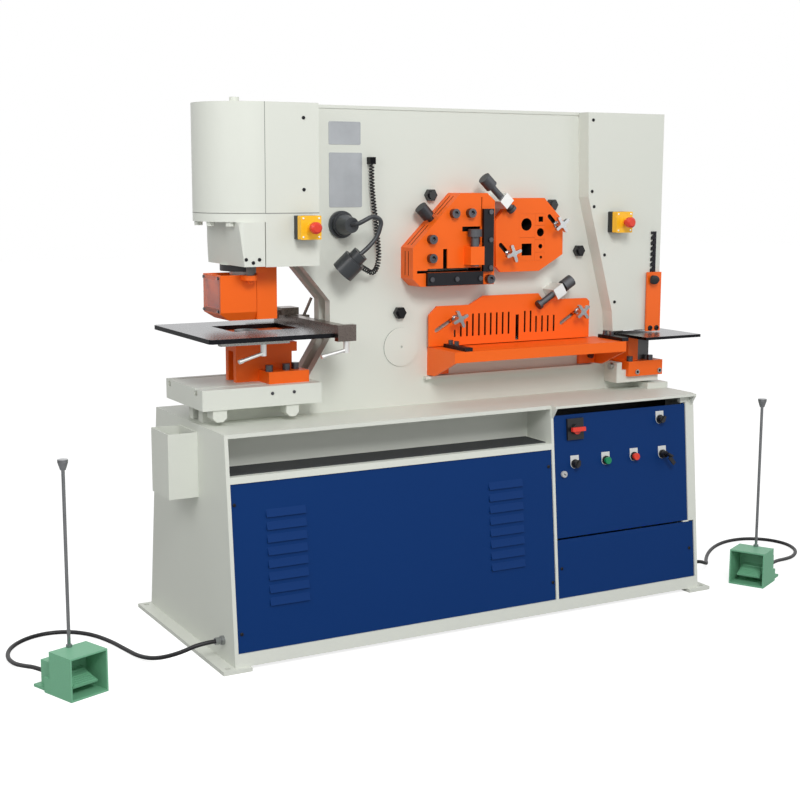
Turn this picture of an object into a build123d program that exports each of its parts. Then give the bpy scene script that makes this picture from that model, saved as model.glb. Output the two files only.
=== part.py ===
from build123d import *
import math
import os

os.makedirs("parts", exist_ok=True)

# Ironworker with punch, angle shear, bar shear, flat shear and notcher.
# Millimetres, +X to the right along the front, the front faces -Y, +Z up.
# The origin is on the floor, in the middle of the four anchor holes.
# An extent is (x0, x1, y0, y1, z0, z1). An outline is a list of (x, z) points.

# General clearances
OVERRUN = 5
GAP = 0.5
RUN_FIT = 0.08
REST_GAP = 0.3

# Cabinet
HALF_LENGTH = 885
FOOT_T = 12
TABLE_Z = 703
FRONT_FOOT_Y = -372
BACK_FOOT_Y = 372
FRONT_TOP_Y = -310
BACK_TOP_Y = 276
END_T = 12
TOP_T = 12
RAIL_T = 10
SHEET_T = 6
RAIL_TOP_Z = 52
DIVIDER_X = (274, 284)
DIVIDER_BACK_Y = -100
SHELF_Z = 577
SHELF_STRIP_H = 20
SHELF_BACK_Y = -177
STILE_W = 36.2
STILE_X = HALF_LENGTH - STILE_W
STILE_FOOT_Z = 254
HOOD_Y = -338
HOOD_T = 8
HOOD_LOW_Z = 660
HOOD_END_IN = 9
HOOD_X = (276, HALF_LENGTH - HOOD_END_IN)
HOOD_CHEEK_T = 8
FOOT_IN = 49
FOOT_OUT = 43
FOOT_X = (HALF_LENGTH - FOOT_IN, HALF_LENGTH + FOOT_OUT)
FOOT_Y = 386
ANCHOR_OUT = 21
ANCHOR_X = HALF_LENGTH + ANCHOR_OUT
ANCHOR_Y = 362
ANCHOR_R = 9

# Front panels on the sloping front, in slope coordinates
SLOPE = math.atan((FRONT_TOP_Y - FRONT_FOOT_Y) / (TABLE_Z - FOOT_T))
SLOPE_PLANE = Plane(
    origin=(0, FRONT_FOOT_Y, FOOT_T),
    x_dir=(1, 0, 0),
    z_dir=(0, -math.cos(SLOPE), math.sin(SLOPE)),
)
SKIN = (-7, -4)
PANEL_END_IN = 13
LOUVRE_PANEL_X = (PANEL_END_IN - HALF_LENGTH, 273)
LOUVRE_PANEL_Z = (53, 556)
LOWER_PANEL_X = (285, HALF_LENGTH - PANEL_END_IN)
LOWER_PANEL_Z = (53, 250)
HINGE_GAP = 0.8
DOOR_X = (286, STILE_X - HINGE_GAP)
DOOR_Z = (256, 667)
DOOR_AXIS_IN = 10
DOOR_AXIS_OUT = (SKIN[0] + SKIN[1]) / 2
DOOR_PIN_R = 3
DOOR_PIN_Z = ((250.9, 262), (660, 684))
HINGE_EAR_IN = 22
HINGE_EAR_LAP = 2
HINGE_EAR_Z = ((250.9, 255.4), (672, 692))
HINGE_EAR_OUT = (-16, -0.5)
LOUVRE_LEFT_X = (-762, 24)
LOUVRE_W = 130
LOUVRE_FIRST_Z = 448
LOUVRE_PITCH = 38
LOUVRE_COUNT = 8
LOUVRE_H = 24
LOUVRE_PROUD = 6
LOUVRE_SLIT = 5

# Door fittings, positions on the door (x, z)
MAIN_SWITCH = (371, 618)
MAIN_PLATE = (66, 72, 8)
MAIN_HUB = (17, 10)
MAIN_BAR = (52, 14, 12)
SELECTOR_LEFT = (368, 501)
SELECTOR_TOP = (735, 622)
KEY_SWITCH = (742, 500)
START_BUTTON = (497, 501)
STOP_BUTTON = (618, 503)
DOOR_LOCK = (321, 470)
FITTING_R = 10
BEZEL_R = 15
BEZEL_H = 6
LOCK_R = 11
LOCK_H = 8
SELECTOR_R = 12
SELECTOR_H = 14
POINTER = (27, 8, 9)
BUTTON_R = 12
BUTTON_H = 7
STEM_IN = 4
PRESS_ROOM = 6
KEY_BOW = (6, 24, 30)
KEY_FOB = (14, 34, 4)
KEY_FOB_AT = (16, -22, 26)
SELECTOR_TURNS = (60, 45)
KEY_TURN = 60
KEY_FOB_TURN = 40

# Left end
SLUG_BOX_W = 95
SLUG_BOX = (-HALF_LENGTH - SLUG_BOX_W, -HALF_LENGTH, -95, 55, 476, 678)
SLUG_T = 3
GLAND_Y = -282
GLAND_Z = 74
GLAND_R = 11
GLAND_NUT_R = 14
GLAND_NUT_L = 10
GLAND_L = 28

# Machine frame
FRAME_FRONT = -78
FRAME_BACK = 38
PLATE_T = 35
FRAME_MID = (FRAME_FRONT + FRAME_BACK) / 2
FRAME_OUTLINE = [
    (-860, 703), (880, 703), (880, 731), (690, 731), (690, 945), (700, 960), (835, 960),
    (835, 1450), (590, 1450), (590, 1655), (531, 1655), (531, 1671), (-505, 1671),
    (-505, 1655), (-560, 1655), (-560, 1220), (-517, 1169), (-424, 1060), (-424, 942),
    (-503, 818), (-503, 754), (-860, 754),
]
WINDOWS = [(-50, 90, 1150, 1290), (264, 362, 1172, 1326), (62, 440, 893, 1000)]
CORE_BLOCKS = [
    (-500, 685, 703, 790), (-400, -290, 790, 1640), (-400, 585, 1500, 1640),
    (0, 480, 790, 890), (660, 688, 790, 900), (-558, -522, 1240, 1640),
]
FRAME_PAD = (800, 892, -163, -78, 703, 723)
FRAME_CAP = (-505, 531, -81, -78, 1661, 1671)
LEDGE = (-80, 605, -98, -78, 787, 797)
PIVOT = (-165, 899)
PIVOT_R = 40
PIVOT_DISC_R = 64
PIVOT_DISC_T = 3
PIVOT_DOT_R = 4
NUT_SPOTS = [(-60, 1392), (-174, 1012), (422, 1357), (540, 1198)]
NUT_R = 21
NUT_T = 17
NUT_DOME_R = 13
NUT_DOME_T = 7

# Moving beam
BEAM_T = 40
BEAM_BOSS_R = 85
BEAM_OUTLINE = [
    (-235, 899), (-165, 830), (-95, 880), (0, 930), (480, 955), (640, 985), (705, 957), (830, 957),
    (830, 1100), (800, 1150), (800, 1392), (600, 1392), (480, 1440), (-150, 1440), (-205, 930),
]
NOTCH_PUNCH = (770, 830, -50, 10, 925, 957)

# Hydraulics inside the cabinet and the right cover
TANK = (-620, -120, -120, 220, 18, 320)
MOTOR_R = 95
MOTOR_AT = (-590, 50, 415)
MOTOR_L = 330
MOTOR_FOOT = (-540, -300, -30, 130, 320, 345)
SHEAR_CYL_AT = (710, 1450)
SHEAR_CYL_R = 62
SHEAR_CYL_H = 190
SHEAR_CYL_BASE = (630, 790, -74, 34, 1450, 1466)
SHEAR_ROD_R = 20
SHEAR_ROD_Z = 1393

# Control gear on a plate behind the door
GEAR_PLATE = (284, HALF_LENGTH - END_T, -176, -172, 270, 660)
GEAR_BOXES = [
    (320, 470, -240, -176, 540, 640), (500, 560, -256, -176, 550, 630), (566, 626, -256, -176, 550, 630),
    (632, 692, -256, -176, 550, 630), (320, 440, -276, -176, 330, 450), (500, 700, -226, -176, 420, 470),
    (500, 700, -216, -176, 320, 350),
]

# Punch head
HEAD_X = -687
HEAD_R = 160
HEAD_Z = (1340, 1670)
HEAD_BOX = (HEAD_X, -509, FRAME_MID - HEAD_R, FRAME_MID + HEAD_R, 1180, HEAD_Z[1])
HEAD_SHEET = 5
HEAD_BOSS = (-717, 15, 19)
HEAD_SEAM = 0.9
FLANGE_T = 25
FLANGE_STEP = 12
FLANGE_INNER_R = HEAD_R - FLANGE_STEP
BARREL_STEP = 45
BARREL_R = HEAD_R - BARREL_STEP
BARREL_SHARE = 0.79
BARREL_TOP_Z = HEAD_Z[0] + BARREL_SHARE * (HEAD_Z[1] - HEAD_Z[0])
COLUMN = (-772, -690, FRAME_MID - HEAD_R, FRAME_MID + HEAD_R, 1182, 1315)
COLUMN_IN = 10
COLUMN_INNER = (-690, -605, COLUMN[2] + COLUMN_IN, COLUMN[3] - COLUMN_IN, 1182, 1315)
COLUMN_DRAFT = 15
COLUMN_TIE = (-605, -560, -78, 38, 1222, 1315)
COLUMN_FRONT_R = 16
COLUMN_BACK_R = 70
FLANGE_BOLT_R = 13.5
FLANGE_BOLT_H = 13
FLANGE_BOLT_IN = 17
FLANGE_BOLT_CIRCLE = HEAD_R - FLANGE_BOLT_IN
FLANGE_BOLT_ANGLES = (165, 201, 229)
GLAND_RING_R = 80
GLAND_RING_INNER_R = 58
GLAND_RING_T = 20
RAM_R = 50
BARREL_HEAD_T = 40
RAM_TOP_ROOM = 10
RAM_BORE_TOP_Z = BARREL_TOP_Z - BARREL_HEAD_T
RAM_Z = (1130, RAM_BORE_TOP_Z - RAM_TOP_ROOM)
PUNCH_NUT_R = 42
PUNCH_NUT_Z = (1097, 1130)
PUNCH_SHANK_R = 24
PUNCH_SHANK_Z = (1062, 1097)
PUNCH_R = 12
PUNCH_Z = (1024, 1062)

# Stripper
STRIPPER_BOX = (-800, -681.5, -91, 51, 1012, 1152)
STRIPPER_HOLLOW = (-792, -676, -83, 43, 1045, 1160)
STRIPPER_SLOT = (-735, -676, -48, 8, 1005, 1050)
STRIPPER_BEVEL = [(-96, 1046), (-72, 1007), (-96, 1007)]
STRIPPER_SIDE_BEVEL = [(-806, 1036.6), (-757, 1007), (-806, 1007)]
STRIPPER_SIGHT = (-805, -790, -77, 37, 1050, 1138)
STRIPPER_PIN = (-712, -116)
LUG_R = 20
LUG_Z = (1137, 1152)
LUG_ARM = (-732, -692, -116, -90, 1137, 1152)
PIN_R = 8
PIN_Z = (1128, 1182)
PIN_NUT_R = 13
PIN_NUT_Z = (1153, 1182)
WINDOW_PANE = (-803, -800, -86, 46, 1035, 1149)
WINDOW_SCREW_R = 4
WINDOW_SCREW_L = 5
WINDOW_SCREW_IN = 7
BRACKET_BOX = (-680, -613, -91, 51, 1014, 1182)
BRACKET_HOLLOW = (-690, -623, -81, 41, 1045, 1190)
BRACKET_SLOT = (-690, -650, -48, 8, 1005, 1050)
BRACKET_LUGS = [(-712, -660, -126, -104, 1160, 1182), (-680, -660, -104, -85, 1160, 1182)]

# Punch bed
BOLSTER = (-898, -503, -177, 137, 754, 817)
BOLSTER_SLOT_Y = (-123, 107)
BOLSTER_SLOT = (12, 7)
BOLSTER_TEE = (24, 15)
BOLSTER_LUGS = [(-863, -818, -172, -122, 717, 754), (-621, -579, -172, -122, 717, 754)]
BOLSTER_SCREWS = [(-670, 794), (-597, 794)]
BOLSTER_SCREW_R = 5
BOLSTER_SCREW_H = 2
LUG_CHAMFER = 12
SLUG_HOLE_R = 24
HOLDER_BODY = (-741, -551, -62, 22, 817, 935)
HOLDER_SLOT = (-750, -650, -40, 0, 817, 912)
HOLDER_RING_R = 60
HOLDER_TOP = (-770, -525, -92, 102, 948, 964.7)
HOLDER_FLANGE = (-665, -529, -142, -62, 817, 854)
HOLDER_LUG = (-551, -533, -62, -30, 905, 935)
DIE_R = 38
DIE_Z = (935, 975)
DIE_BORE_R = 13
HOLDER_SCREWS = [(-655, -120), (-592, -108), (-556, -96)]
PUNCH_TABLE = (-905, -484, -264, 224, 965, 979)
TABLE_OPENING = (-760, -535, -85, 95, 960, 985)
TABLE_CHAMFER = 8
TABLE_RAIL = (-851, -627, -215, -190, 951, 965)
TABLE_LEVER_AT = (-709, -203)
LEVER_HUB_R = 9
LEVER_HUB_H = 36
LEVER_TOP_Z = 950.7
LEVER_REACH = (-78, -10, -20)
LEVER_ARM_R = 5.5
LEVER_TIP_R = 7
FENCE_RAIL = (-484, -448, -264, 224, 965, 1000)
FENCE_END = (-500, -438, -288, -264, 955, 1005)
FENCE_CARRIAGE = (-500, -438, 125, 190, 1000, 1024)
FENCE_FINGER = (-610, -500, 145, 170, 988, 1016)
FENCE_LUG = (-448, -392, 140, 176, 976, 996)
FENCE_STEM = ((-405, 158, 992), (-380, 150, 1052))
FENCE_STEM_R = 5
FENCE_LEVER_AT = (-466, -276)
FENCE_LEVER_TOP_Z = 954.7
FENCE_LEVER_REACH = (-80, -4, -16)

# Angle shear
ANGLE_FRONT = -158
ANGLE_OUTLINE = [
    (-137, 1100), (143, 1100), (143, 1374), (113, 1399), (11, 1399), (-166, 1225), (-166, 1126),
]
ANGLE_CUTS = [
    (90, 94, -188, -128, 1290, 1386), (18, 88, -188, -108, 1275, 1291), (82, 88, -188, -108, 1232, 1280),
    (-54, -38, -188, -70, 1150, 1220), (-112, 93, -188, -70, 1145, 1157),
    (-151, -110, -188, -70, 1143, 1152),
]
ANGLE_JAW = (26, 78, -200, -158, 1168, 1227)
ANGLE_SCREW_AT = (52, -182)
ANGLE_SCREW_R = 14
ANGLE_SCREW_Z = (1163, 1259)
ANGLE_CAP_R = 23
ANGLE_CAP_Z = (1259, 1283)
GROOVE_Y = (-128, -106)
GROOVE_W = 4
GROOVE_DEEP = 5
GROOVE_LEFT_Z = (1136, 1214)
GROOVE_BEVEL_SHARES = ((0.05, 0.42), (0.60, 0.95))
GUIDE_T = 12
GUIDE_UPRIGHT = (94, 133, -170, -158, 1143, 1348)
GUIDE_FLAT = (-118, 93.5, -170, -158, 1102, 1144.5)
BEVEL_KNOB_AT = (-76, -118, 1313)
BEVEL_KNOB_DIR = (-0.70, 0, 0.714)
BEVEL_SHANK_R = 11
BEVEL_SHANK_L = 16
KNOB_R = 21
KNOB_L = 42
TABLE_GUIDES = [(-22, 6, -250, -112, 893, 905), (612, 640, -250, -112, 893, 905)]
REAR_GUARD = (40, 462, 60, 64, 880, 1012)
REAR_GUARD_POSTS = [(40, 54, 38, 60, 930, 960), (448, 462, 38, 60, 930, 960)]

# Bar shear
BAR_FRONT = -138
BAR_T = 12
BAR_OUTLINE = [
    (182, 1137), (336, 1137), (433, 1191), (432, 1306), (354, 1382), (225, 1382), (184, 1334),
    (158, 1309), (163, 1156),
]
BAR_BACK_OUTLINE = [
    (190, 1152), (332, 1152), (418, 1200), (418, 1300), (348, 1366), (236, 1366), (200, 1326), (178, 1300),
    (178, 1164),
]
BAR_ROUND_HOLES = [(283, 1294, 21), (340, 1267, 14), (341, 1220, 8), (344, 1183, 5)]
BAR_SQUARE_HOLES = [(285, 1210, 40), (341, 1311, 18)]
BAR_SLOTS = [((181, 1227), (208, 1200)), ((376, 1320), (402, 1293))]
BAR_SLOT_W = 15
# Blade inserts, one for each hole, side by side in one window of the plate: x range, z range
BAR_WINDOW = (254, 358, 1172, 1330)
BAR_INSERTS = [
    (254, 318, 1172, 1250), (254, 318, 1250, 1330), (318, 358, 1172, 1200), (318, 358, 1200, 1242),
    (318, 358, 1242, 1290), (318, 358, 1290, 1330),
]

# Flat shear
GUARD_FRONT = -102
GUARD_T = 8
GUARD_OUTLINE = [
    (-72, 896), (579, 896), (579, 1022), (566, 1033), (462, 1034), (376, 1040), (362, 1057), (138, 1057),
    (84, 1029), (-42, 1029), (-72, 1001),
]
GUARD_SLITS = [
    (27, 924, 948), (51, 924, 962), (75, 924, 974), (98, 924, 999), (122, 924, 999), (146, 924, 999),
    (169, 924, 999), (193, 924, 999), (217, 924, 999), (241, 924, 999), (307, 926, 999), (331, 926, 999),
    (354, 924, 980), (379, 924, 980), (403, 924, 980), (428, 924, 980),
]
GUARD_SLIT_W = 7
GUARD_WIDE_SLIT = (276, 902, 988, 13)
GUARD_SLOTS = [((-43, 949), (25, 987)), ((461, 951), (524, 990))]
GUARD_SLOT_W = 15
GUARD_STUDS = [(25, 987), (524, 990)]
STUD_R = 14
FLAT_TABLE = (-65, 626, -256, -78, 885, 893)
FLAT_FLANGE = (-65, 626, -256, -248, 858, 893)
GUSSET = [(-78, 893), (-256, 893), (-256, 858), (-126, 801), (-78, 799)]
GUSSET_X = ((-65, -57), (618, 626))
GUSSET_FEET = [(-60, 13, -88, -78, 800, 850), (548, 620, -88, -78, 800, 850)]

# Star knobs: (x, z, face y, turn)
STAR_SPOTS = [(208, 1200, -138, 20), (402, 1293, -138, 35), (25, 987, -102, 25), (524, 990, -102, 40)]
STAR_WASHER_R = 11
STAR_WASHER_T = 6
STAR_STUD_R = 7
STAR_STUD_L = 26
STAR_HUB_R = 11
STAR_ARM_R = 5.5
STAR_REACH = 25
STAR_T = 12

# Hold-downs: axis point, direction in the frame plane, block, screw
BAR_HOLD_AXIS = (180, -157, 1373)
BAR_HOLD_ANGLE = -43
BAR_HOLD_BLOCK = (-18.5, 18, 19.5)
BAR_HOLD_FRONT = -175
BAR_HOLD_KNOB = (-110, -69)
BAR_HOLD_FOOT = (35, 46)
FLAT_HOLD_AXIS = (424, -123, 1064)
FLAT_HOLD_ANGLE = 211
FLAT_HOLD_BLOCK = (-21, 21, 19.5)
FLAT_HOLD_FRONT = -143
FLAT_HOLD_KNOB = (-69, -29)
FLAT_HOLD_FOOT = (80, 90)
HOLD_SCREW_R = 11
HOLD_FOOT_R = 16
HOLD_KNOB_R = 21

# Notcher
COVER_FRONT = -134
COVER_BACK = 94
COVER_OUTLINE = [(532, 1670), (541, 1384), (654, 984), (660, 915), (862, 915), (862, 1670)]
COVER_INNER = [(537, 1665), (546, 1385), (659, 985), (664, 920), (857, 920), (857, 1665)]
COVER_SHEET = 5
COVER_MOUTH = (705, 852, -78, 38, 900, 925)
NOTCH_TABLE = (692, 935, -281, 241, 895, 905)
NOTCH_OPENING = (748, 866, -72, 32, 890, 910)
NOTCH_HOLDER = (711, 863, -165, 110, 753, 806)
NOTCH_UPRIGHT = (728, 770, -140, 90, 806, 895)
NOTCH_DIE = (772, 826, -130, 90, 806, 895)
NOTCH_DIE_MOUTH = (764, 870, -58, 18, 800, 905)
NOTCH_HOLDER_SLOT = (764, 880, -58, 18, 735, 815)
NOTCH_BED = [(670, 731), (856, 731), (856, 753), (711, 753), (711, 776), (692, 776), (692, 803), (670, 803)]
NOTCH_BED_FRONT = -150
NOTCH_BED_BACK = 110
NOTCH_BED_REAR = [(690, 731), (856, 731), (856, 753), (711, 753), (711, 776), (690, 776)]
RACK = (818, 838, -140, -134, 1060, 1262)
RACK_TEETH = 8
RACK_PITCH = 19
RACK_TOP_Z = 1250
RACK_BITE = (10, 6)
GUARD_PLATE = (798, 859, -149, -140.5, 909, 1119)
GUARD_KNOB_AT = (816, 1093)
GUARD_KNOB_R = 15
GUARD_KNOB_L = 22
GUARD_KNOB_STEM_R = 8
GUARD_KNOB_STEM_L = 10

# Screws: (x, z) on faces that look to the front
SCREW_R = 15
SCREW_H = 19
SOCKET_R = 8.5
SOCKET_DEEP = 9
ANGLE_SCREWS = [(-16, 1334), (46, 1335), (-100, 1252), (-100, 1191), (121, 1118)]
SMALL_R = 8
SMALL_H = 4
GUIDE_SCREWS = [(120, 1338), (121, 1247), (122, 1156), (-102, 1123), (-8, 1122), (82, 1122)]
TABLE_SCREWS = [(-8, -135), (-8, -172), (626, -135), (626, -172)]
TABLE_SCREW_Z = 905
TABLE_SCREW_R = 8
TABLE_SCREW_H = 14
HOLDER_SCREW_R = 12
HOLDER_SCREW_H = 20
NOTCH_TOP_SCREWS = [(725, -152), (816, -150)]
NOTCH_TOP_R = 11
NOTCH_TOP_H = 18
NOTCH_FRONT_SCREWS = [(749, 768), (849, 768)]
NOTCH_FRONT_R = 9
NOTCH_FRONT_H = 4
NOTCH_HEX_AT = (670, -123, 789)
NOTCH_HEX_R = 12
NOTCH_HEX_H = 12
GUSSET_SCREW_AT = (596, 828)
GUSSET_SCREW_R = 10
GUSSET_SCREW_H = 12

# Emergency stops: (x0, x1, face y, z0, z1)
ESTOPS = [(-594, -526, -180, 1262, 1334), (626, 694, -134, 1262, 1334)]
ESTOP_DEEP = 50
ESTOP_EDGE = 3
ESTOP_COLLAR_R = 15
ESTOP_COLLAR_T = 6
ESTOP_STEM_R = 9
ESTOP_STEM_IN = 10
ESTOP_BORE = 20
ESTOP_NECK = 24
ESTOP_HEAD_R = 18
ESTOP_HEAD_T = 20
ESTOP_HEAD_EDGE = 6

# Lamp
LAMP_AT = (-385, 1301)
LAMP_FLANGE = (43, 12)
LAMP_STEP = (36, 14)
LAMP_CONE = (33, 24, 54)
NECK_R = 7
NECK_POINTS = [
    (-385, -156, 1302), (-378, -184, 1305), (-328, -192, 1331), (-296, -190, 1316), (-310, -186, 1264),
    (-346, -182, 1228), (-370, -180, 1210),
]
NECK_SHARE = 0.45
LAMP_HEAD_AT = (-366, -180, 1214)
LAMP_HEAD_DIR = (-0.568, 0.408, -0.715)
LAMP_BACK = (26, 26)
LAMP_SHADE = (38, 58)
LAMP_MOUTH = (33, 40)
LAMP_TAIL_AT = (-386.4, -165.3, 1188.3)
LAMP_TAIL_DIR = (0.815, 0.458, -0.356)
LAMP_TAIL_R = 9
LAMP_TAIL_L = 50
LAMP_GLAND = (-291, -271, -102, -78, 1490, 1512)
COIL_R = 9
COIL_POINTS = [
    (-281, -92, 1490), (-281, -92, 1440), (-275, -92, 1372), (-265, -92, 1306), (-259, -92, 1246),
    (-256, -96, 1196), (-270, -107, 1160), (-296, -123, 1146),
]
COIL_RUN_IN = 36

# Foot switches: front left floor corner and turn about Z
PEDAL_LEFT_OUT = 495
PEDAL_RIGHT_OUT = 157
PEDAL_PLACES = [
    ((-HALF_LENGTH - PEDAL_LEFT_OUT, -381), 20.0),
    ((HALF_LENGTH + PEDAL_RIGHT_OUT, -359), -62.5),
]
HOOD_OUT = (0, 128, 0, 100, 0, 126)
HOOD_IN = (5, 123, -10, 95, 6, 121)
HOOD_SKIRT = (0, 128, 100, 127, 0, 45)
PEDAL_BODY = (22, 106, 100, 172, 8, 82)
PEDAL_FOOT = (8, 120, 127, 190, 0, 8)
PEDAL_STOP = (22, 106, 90.3, 95, 6, 60)
TREADLE = (84, 64, 6)
TREADLE_AT = (64, 51, 42)
TREADLE_TILT = 17
TREADLE_PIN = (84, 52)
TREADLE_PIN_R = 6
PEDAL_ROD_AT = (64, 92)
PEDAL_ROD_Z = (126, 640)
PEDAL_ROD_R = 5
PEDAL_COLLAR = (9, 8)
PEDAL_KNOB_NECK = (8, 22)
PEDAL_KNOB_CAP = (15, 8)
CABLE_R = 6.5
CABLE_ENTRY = (40, 172, 40)
CABLE_ENTRY_RIGHT = (88, 172, 40)
CABLE_RUN_IN = 55
# Cable routes: distance out from the cabinet end, y, z
CABLE_LEFT_RUN = [
    (28, -282, 74), (77, -282, 74), (135, -262, 48), (185, -205, 22), (212, -125, 9), (226, -32, 7),
    (243, 66, 7), (277, 162, 7), (337, 224, 7), (415, 236, 7), (487, 202, 7), (540, 140, 7), (565, 62, 8),
    (565, -20, 14), (551, -92, 27),
]
CABLE_RIGHT_RUN = [
    (28, -282, 74), (80, -282, 74), (151, -238, 46), (217, -172, 20), (277, -98, 8), (355, -22, 7),
    (447, 44, 7), (545, 82, 7), (639, 76, 7), (705, 22, 7), (728, -66, 7), (687, -160, 7), (607, -224, 9),
    (527, -262, 18), (457, -298, 31),
]
CABLE_LEFT = [(-HALF_LENGTH - out, y, z) for out, y, z in CABLE_LEFT_RUN]
CABLE_RIGHT = [(HALF_LENGTH + out, y, z) for out, y, z in CABLE_RIGHT_RUN]
ROUTE_SHARE = 0.45


def block(extent, mode=Mode.ADD):
    x0, x1, y0, y1, z0, z1 = extent
    with Locations(((x0 + x1) / 2, (y0 + y1) / 2, (z0 + z1) / 2)):
        Box(x1 - x0, y1 - y0, z1 - z0, mode=mode)


def slab_y(points, y0, y1, mode=Mode.ADD):
    with BuildSketch(Plane.XZ.offset(-y1)) as face:
        Polygon(*points, align=None)
    extrude(face.sketch, amount=y1 - y0, dir=(0, -1, 0), mode=mode)


def slab_x(points, x0, x1, mode=Mode.ADD):
    with BuildSketch(Plane.YZ.offset(x0)) as face:
        Polygon(*points, align=None)
    extrude(face.sketch, amount=x1 - x0, dir=(1, 0, 0), mode=mode)


def rod(start, end, radius, mode=Mode.ADD):
    line = Vector(*end) - Vector(*start)
    with Locations(Plane(origin=start, z_dir=line)):
        Cylinder(radius, line.length, align=(Align.CENTER, Align.CENTER, Align.MIN), mode=mode)


def along(start, direction, distance):
    unit = Vector(*direction).normalized()
    return tuple(Vector(*start) + unit * distance)


def upright(spot, radius, z_range, mode=Mode.ADD):
    rod((spot[0], spot[1], z_range[0]), (spot[0], spot[1], z_range[1]), radius, mode)


def forward(spot, radius, back, front, mode=Mode.ADD):
    rod((spot[0], back, spot[1]), (spot[0], front, spot[1]), radius, mode)


def hex_forward(spot, radius, back, front, mode=Mode.ADD):
    with BuildSketch(Plane.XZ.offset(-back)) as face:
        with Locations(spot):
            RegularPolygon(radius, 6)
    extrude(face.sketch, amount=back - front, dir=(0, -1, 0), mode=mode)


def socket_screw(spot, face_y, radius, height):
    forward(spot, radius, face_y, face_y - height)
    hex_forward(spot, SOCKET_R * radius / SCREW_R, face_y - height + SOCKET_DEEP * radius / SCREW_R,
                face_y - height - OVERRUN, Mode.SUBTRACT)


def slot_y(start, end, width, y0, y1):
    length = math.hypot(end[0] - start[0], end[1] - start[1])
    turn = math.degrees(math.atan2(end[1] - start[1], end[0] - start[0]))
    middle = ((start[0] + end[0]) / 2, (start[1] + end[1]) / 2)
    with BuildSketch(Plane.XZ.offset(-y1)) as face:
        with Locations(Location((middle[0], middle[1], 0), (0, 0, turn))):
            SlotCenterToCenter(length, width)
    extrude(face.sketch, amount=y1 - y0, dir=(0, -1, 0), mode=Mode.SUBTRACT)


def slope_y(z):
    return FRONT_FOOT_Y + (z - FOOT_T) * math.tan(SLOPE)


def slope_v(z):
    return (z - FOOT_T) / math.cos(SLOPE)


def on_slope(x, z, out):
    return SLOPE_PLANE.location * Location((x, slope_v(z), out))


def skin(x_range, z_range, out_range, mode=Mode.ADD):
    middle_z = (z_range[0] + z_range[1]) / 2
    with Locations(on_slope((x_range[0] + x_range[1]) / 2, middle_z, (out_range[0] + out_range[1]) / 2)):
        Box(x_range[1] - x_range[0], slope_v(z_range[1]) - slope_v(z_range[0]),
            out_range[1] - out_range[0], mode=mode)


def stub(spot, radius, out_range, mode=Mode.ADD):
    with Locations(on_slope(spot[0], spot[1], out_range[0])):
        tall = out_range[1] - out_range[0]
        Cylinder(radius, tall, align=(Align.CENTER, Align.CENTER, Align.MIN), mode=mode)


def bar_on_slope(spot, size, out, turn=0):
    with Locations(on_slope(spot[0], spot[1], out) * Location((0, 0, 0), (0, 0, turn))):
        Box(size[0], size[1], size[2], align=(Align.CENTER, Align.CENTER, Align.MIN))


def hinge_rod(z_range, radius, mode=Mode.ADD):
    x = STILE_X - DOOR_AXIS_IN
    foot = on_slope(x, z_range[0], DOOR_AXIS_OUT).position
    top = on_slope(x, z_range[1], DOOR_AXIS_OUT).position
    rod(tuple(foot), tuple(top), radius, mode)


def turned_quad(axis, angle, block_size):
    back, front, half = block_size
    ca = math.cos(math.radians(angle))
    sa = math.sin(math.radians(angle))
    corners = ((back, -half), (front, -half), (front, half), (back, half))
    return [(axis[0] + a * ca - b * sa, axis[2] + a * sa + b * ca) for a, b in corners]


def on_axis(axis, angle, distance):
    ca = math.cos(math.radians(angle))
    sa = math.sin(math.radians(angle))
    return (axis[0] + distance * ca, axis[1], axis[2] + distance * sa)


def route_radii(points, share):
    radii = []
    for before, here, after in zip(points, points[1:], points[2:]):
        first = Vector(*here) - Vector(*before)
        second = Vector(*after) - Vector(*here)
        half_turn = math.radians(first.get_angle(second)) / 2
        radii.append(share * min(first.length, second.length) / math.tan(half_turn))
    return radii


def route_length(line):
    return sum(edge.length for edge in line.edges())


def pedal_place(index):
    corner, turn = PEDAL_PLACES[index]
    return Location((corner[0], corner[1], 0), (0, 0, turn))


def pedal_point(index, local):
    corner, turn = PEDAL_PLACES[index]
    ct = math.cos(math.radians(turn))
    st = math.sin(math.radians(turn))
    return (corner[0] + local[0] * ct - local[1] * st, corner[1] + local[0] * st + local[1] * ct, local[2])


# Cabinet: end plates, table top, shelf, divider, rails and floor plates
end_face = [
    (FRONT_FOOT_Y, FOOT_T), (BACK_FOOT_Y, FOOT_T), (BACK_TOP_Y, TABLE_Z), (FRONT_TOP_Y, TABLE_Z),
]
divider_face = [
    (FRONT_FOOT_Y, FOOT_T), (DIVIDER_BACK_Y, FOOT_T), (DIVIDER_BACK_Y, TABLE_Z), (FRONT_TOP_Y, TABLE_Z),
]
back_face = [
    (BACK_FOOT_Y, FOOT_T), (BACK_TOP_Y, TABLE_Z), (BACK_TOP_Y - SHEET_T, TABLE_Z),
    (BACK_FOOT_Y - SHEET_T, FOOT_T),
]
strip_foot_z = SHELF_Z - SHELF_STRIP_H
strip_face = [
    (slope_y(strip_foot_z), strip_foot_z), (slope_y(SHELF_Z), SHELF_Z), (slope_y(SHELF_Z) + RAIL_T, SHELF_Z),
    (slope_y(strip_foot_z) + RAIL_T, strip_foot_z),
]
rail_face = [
    (FRONT_FOOT_Y, FOOT_T), (slope_y(RAIL_TOP_Z), RAIL_TOP_Z), (slope_y(RAIL_TOP_Z) + RAIL_T, RAIL_TOP_Z),
    (FRONT_FOOT_Y + RAIL_T, FOOT_T),
]
stile_face = [
    (slope_y(STILE_FOOT_Z), STILE_FOOT_Z), (FRONT_TOP_Y, TABLE_Z), (FRONT_TOP_Y + RAIL_T, TABLE_Z),
    (slope_y(STILE_FOOT_Z) + RAIL_T, STILE_FOOT_Z),
]
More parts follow.
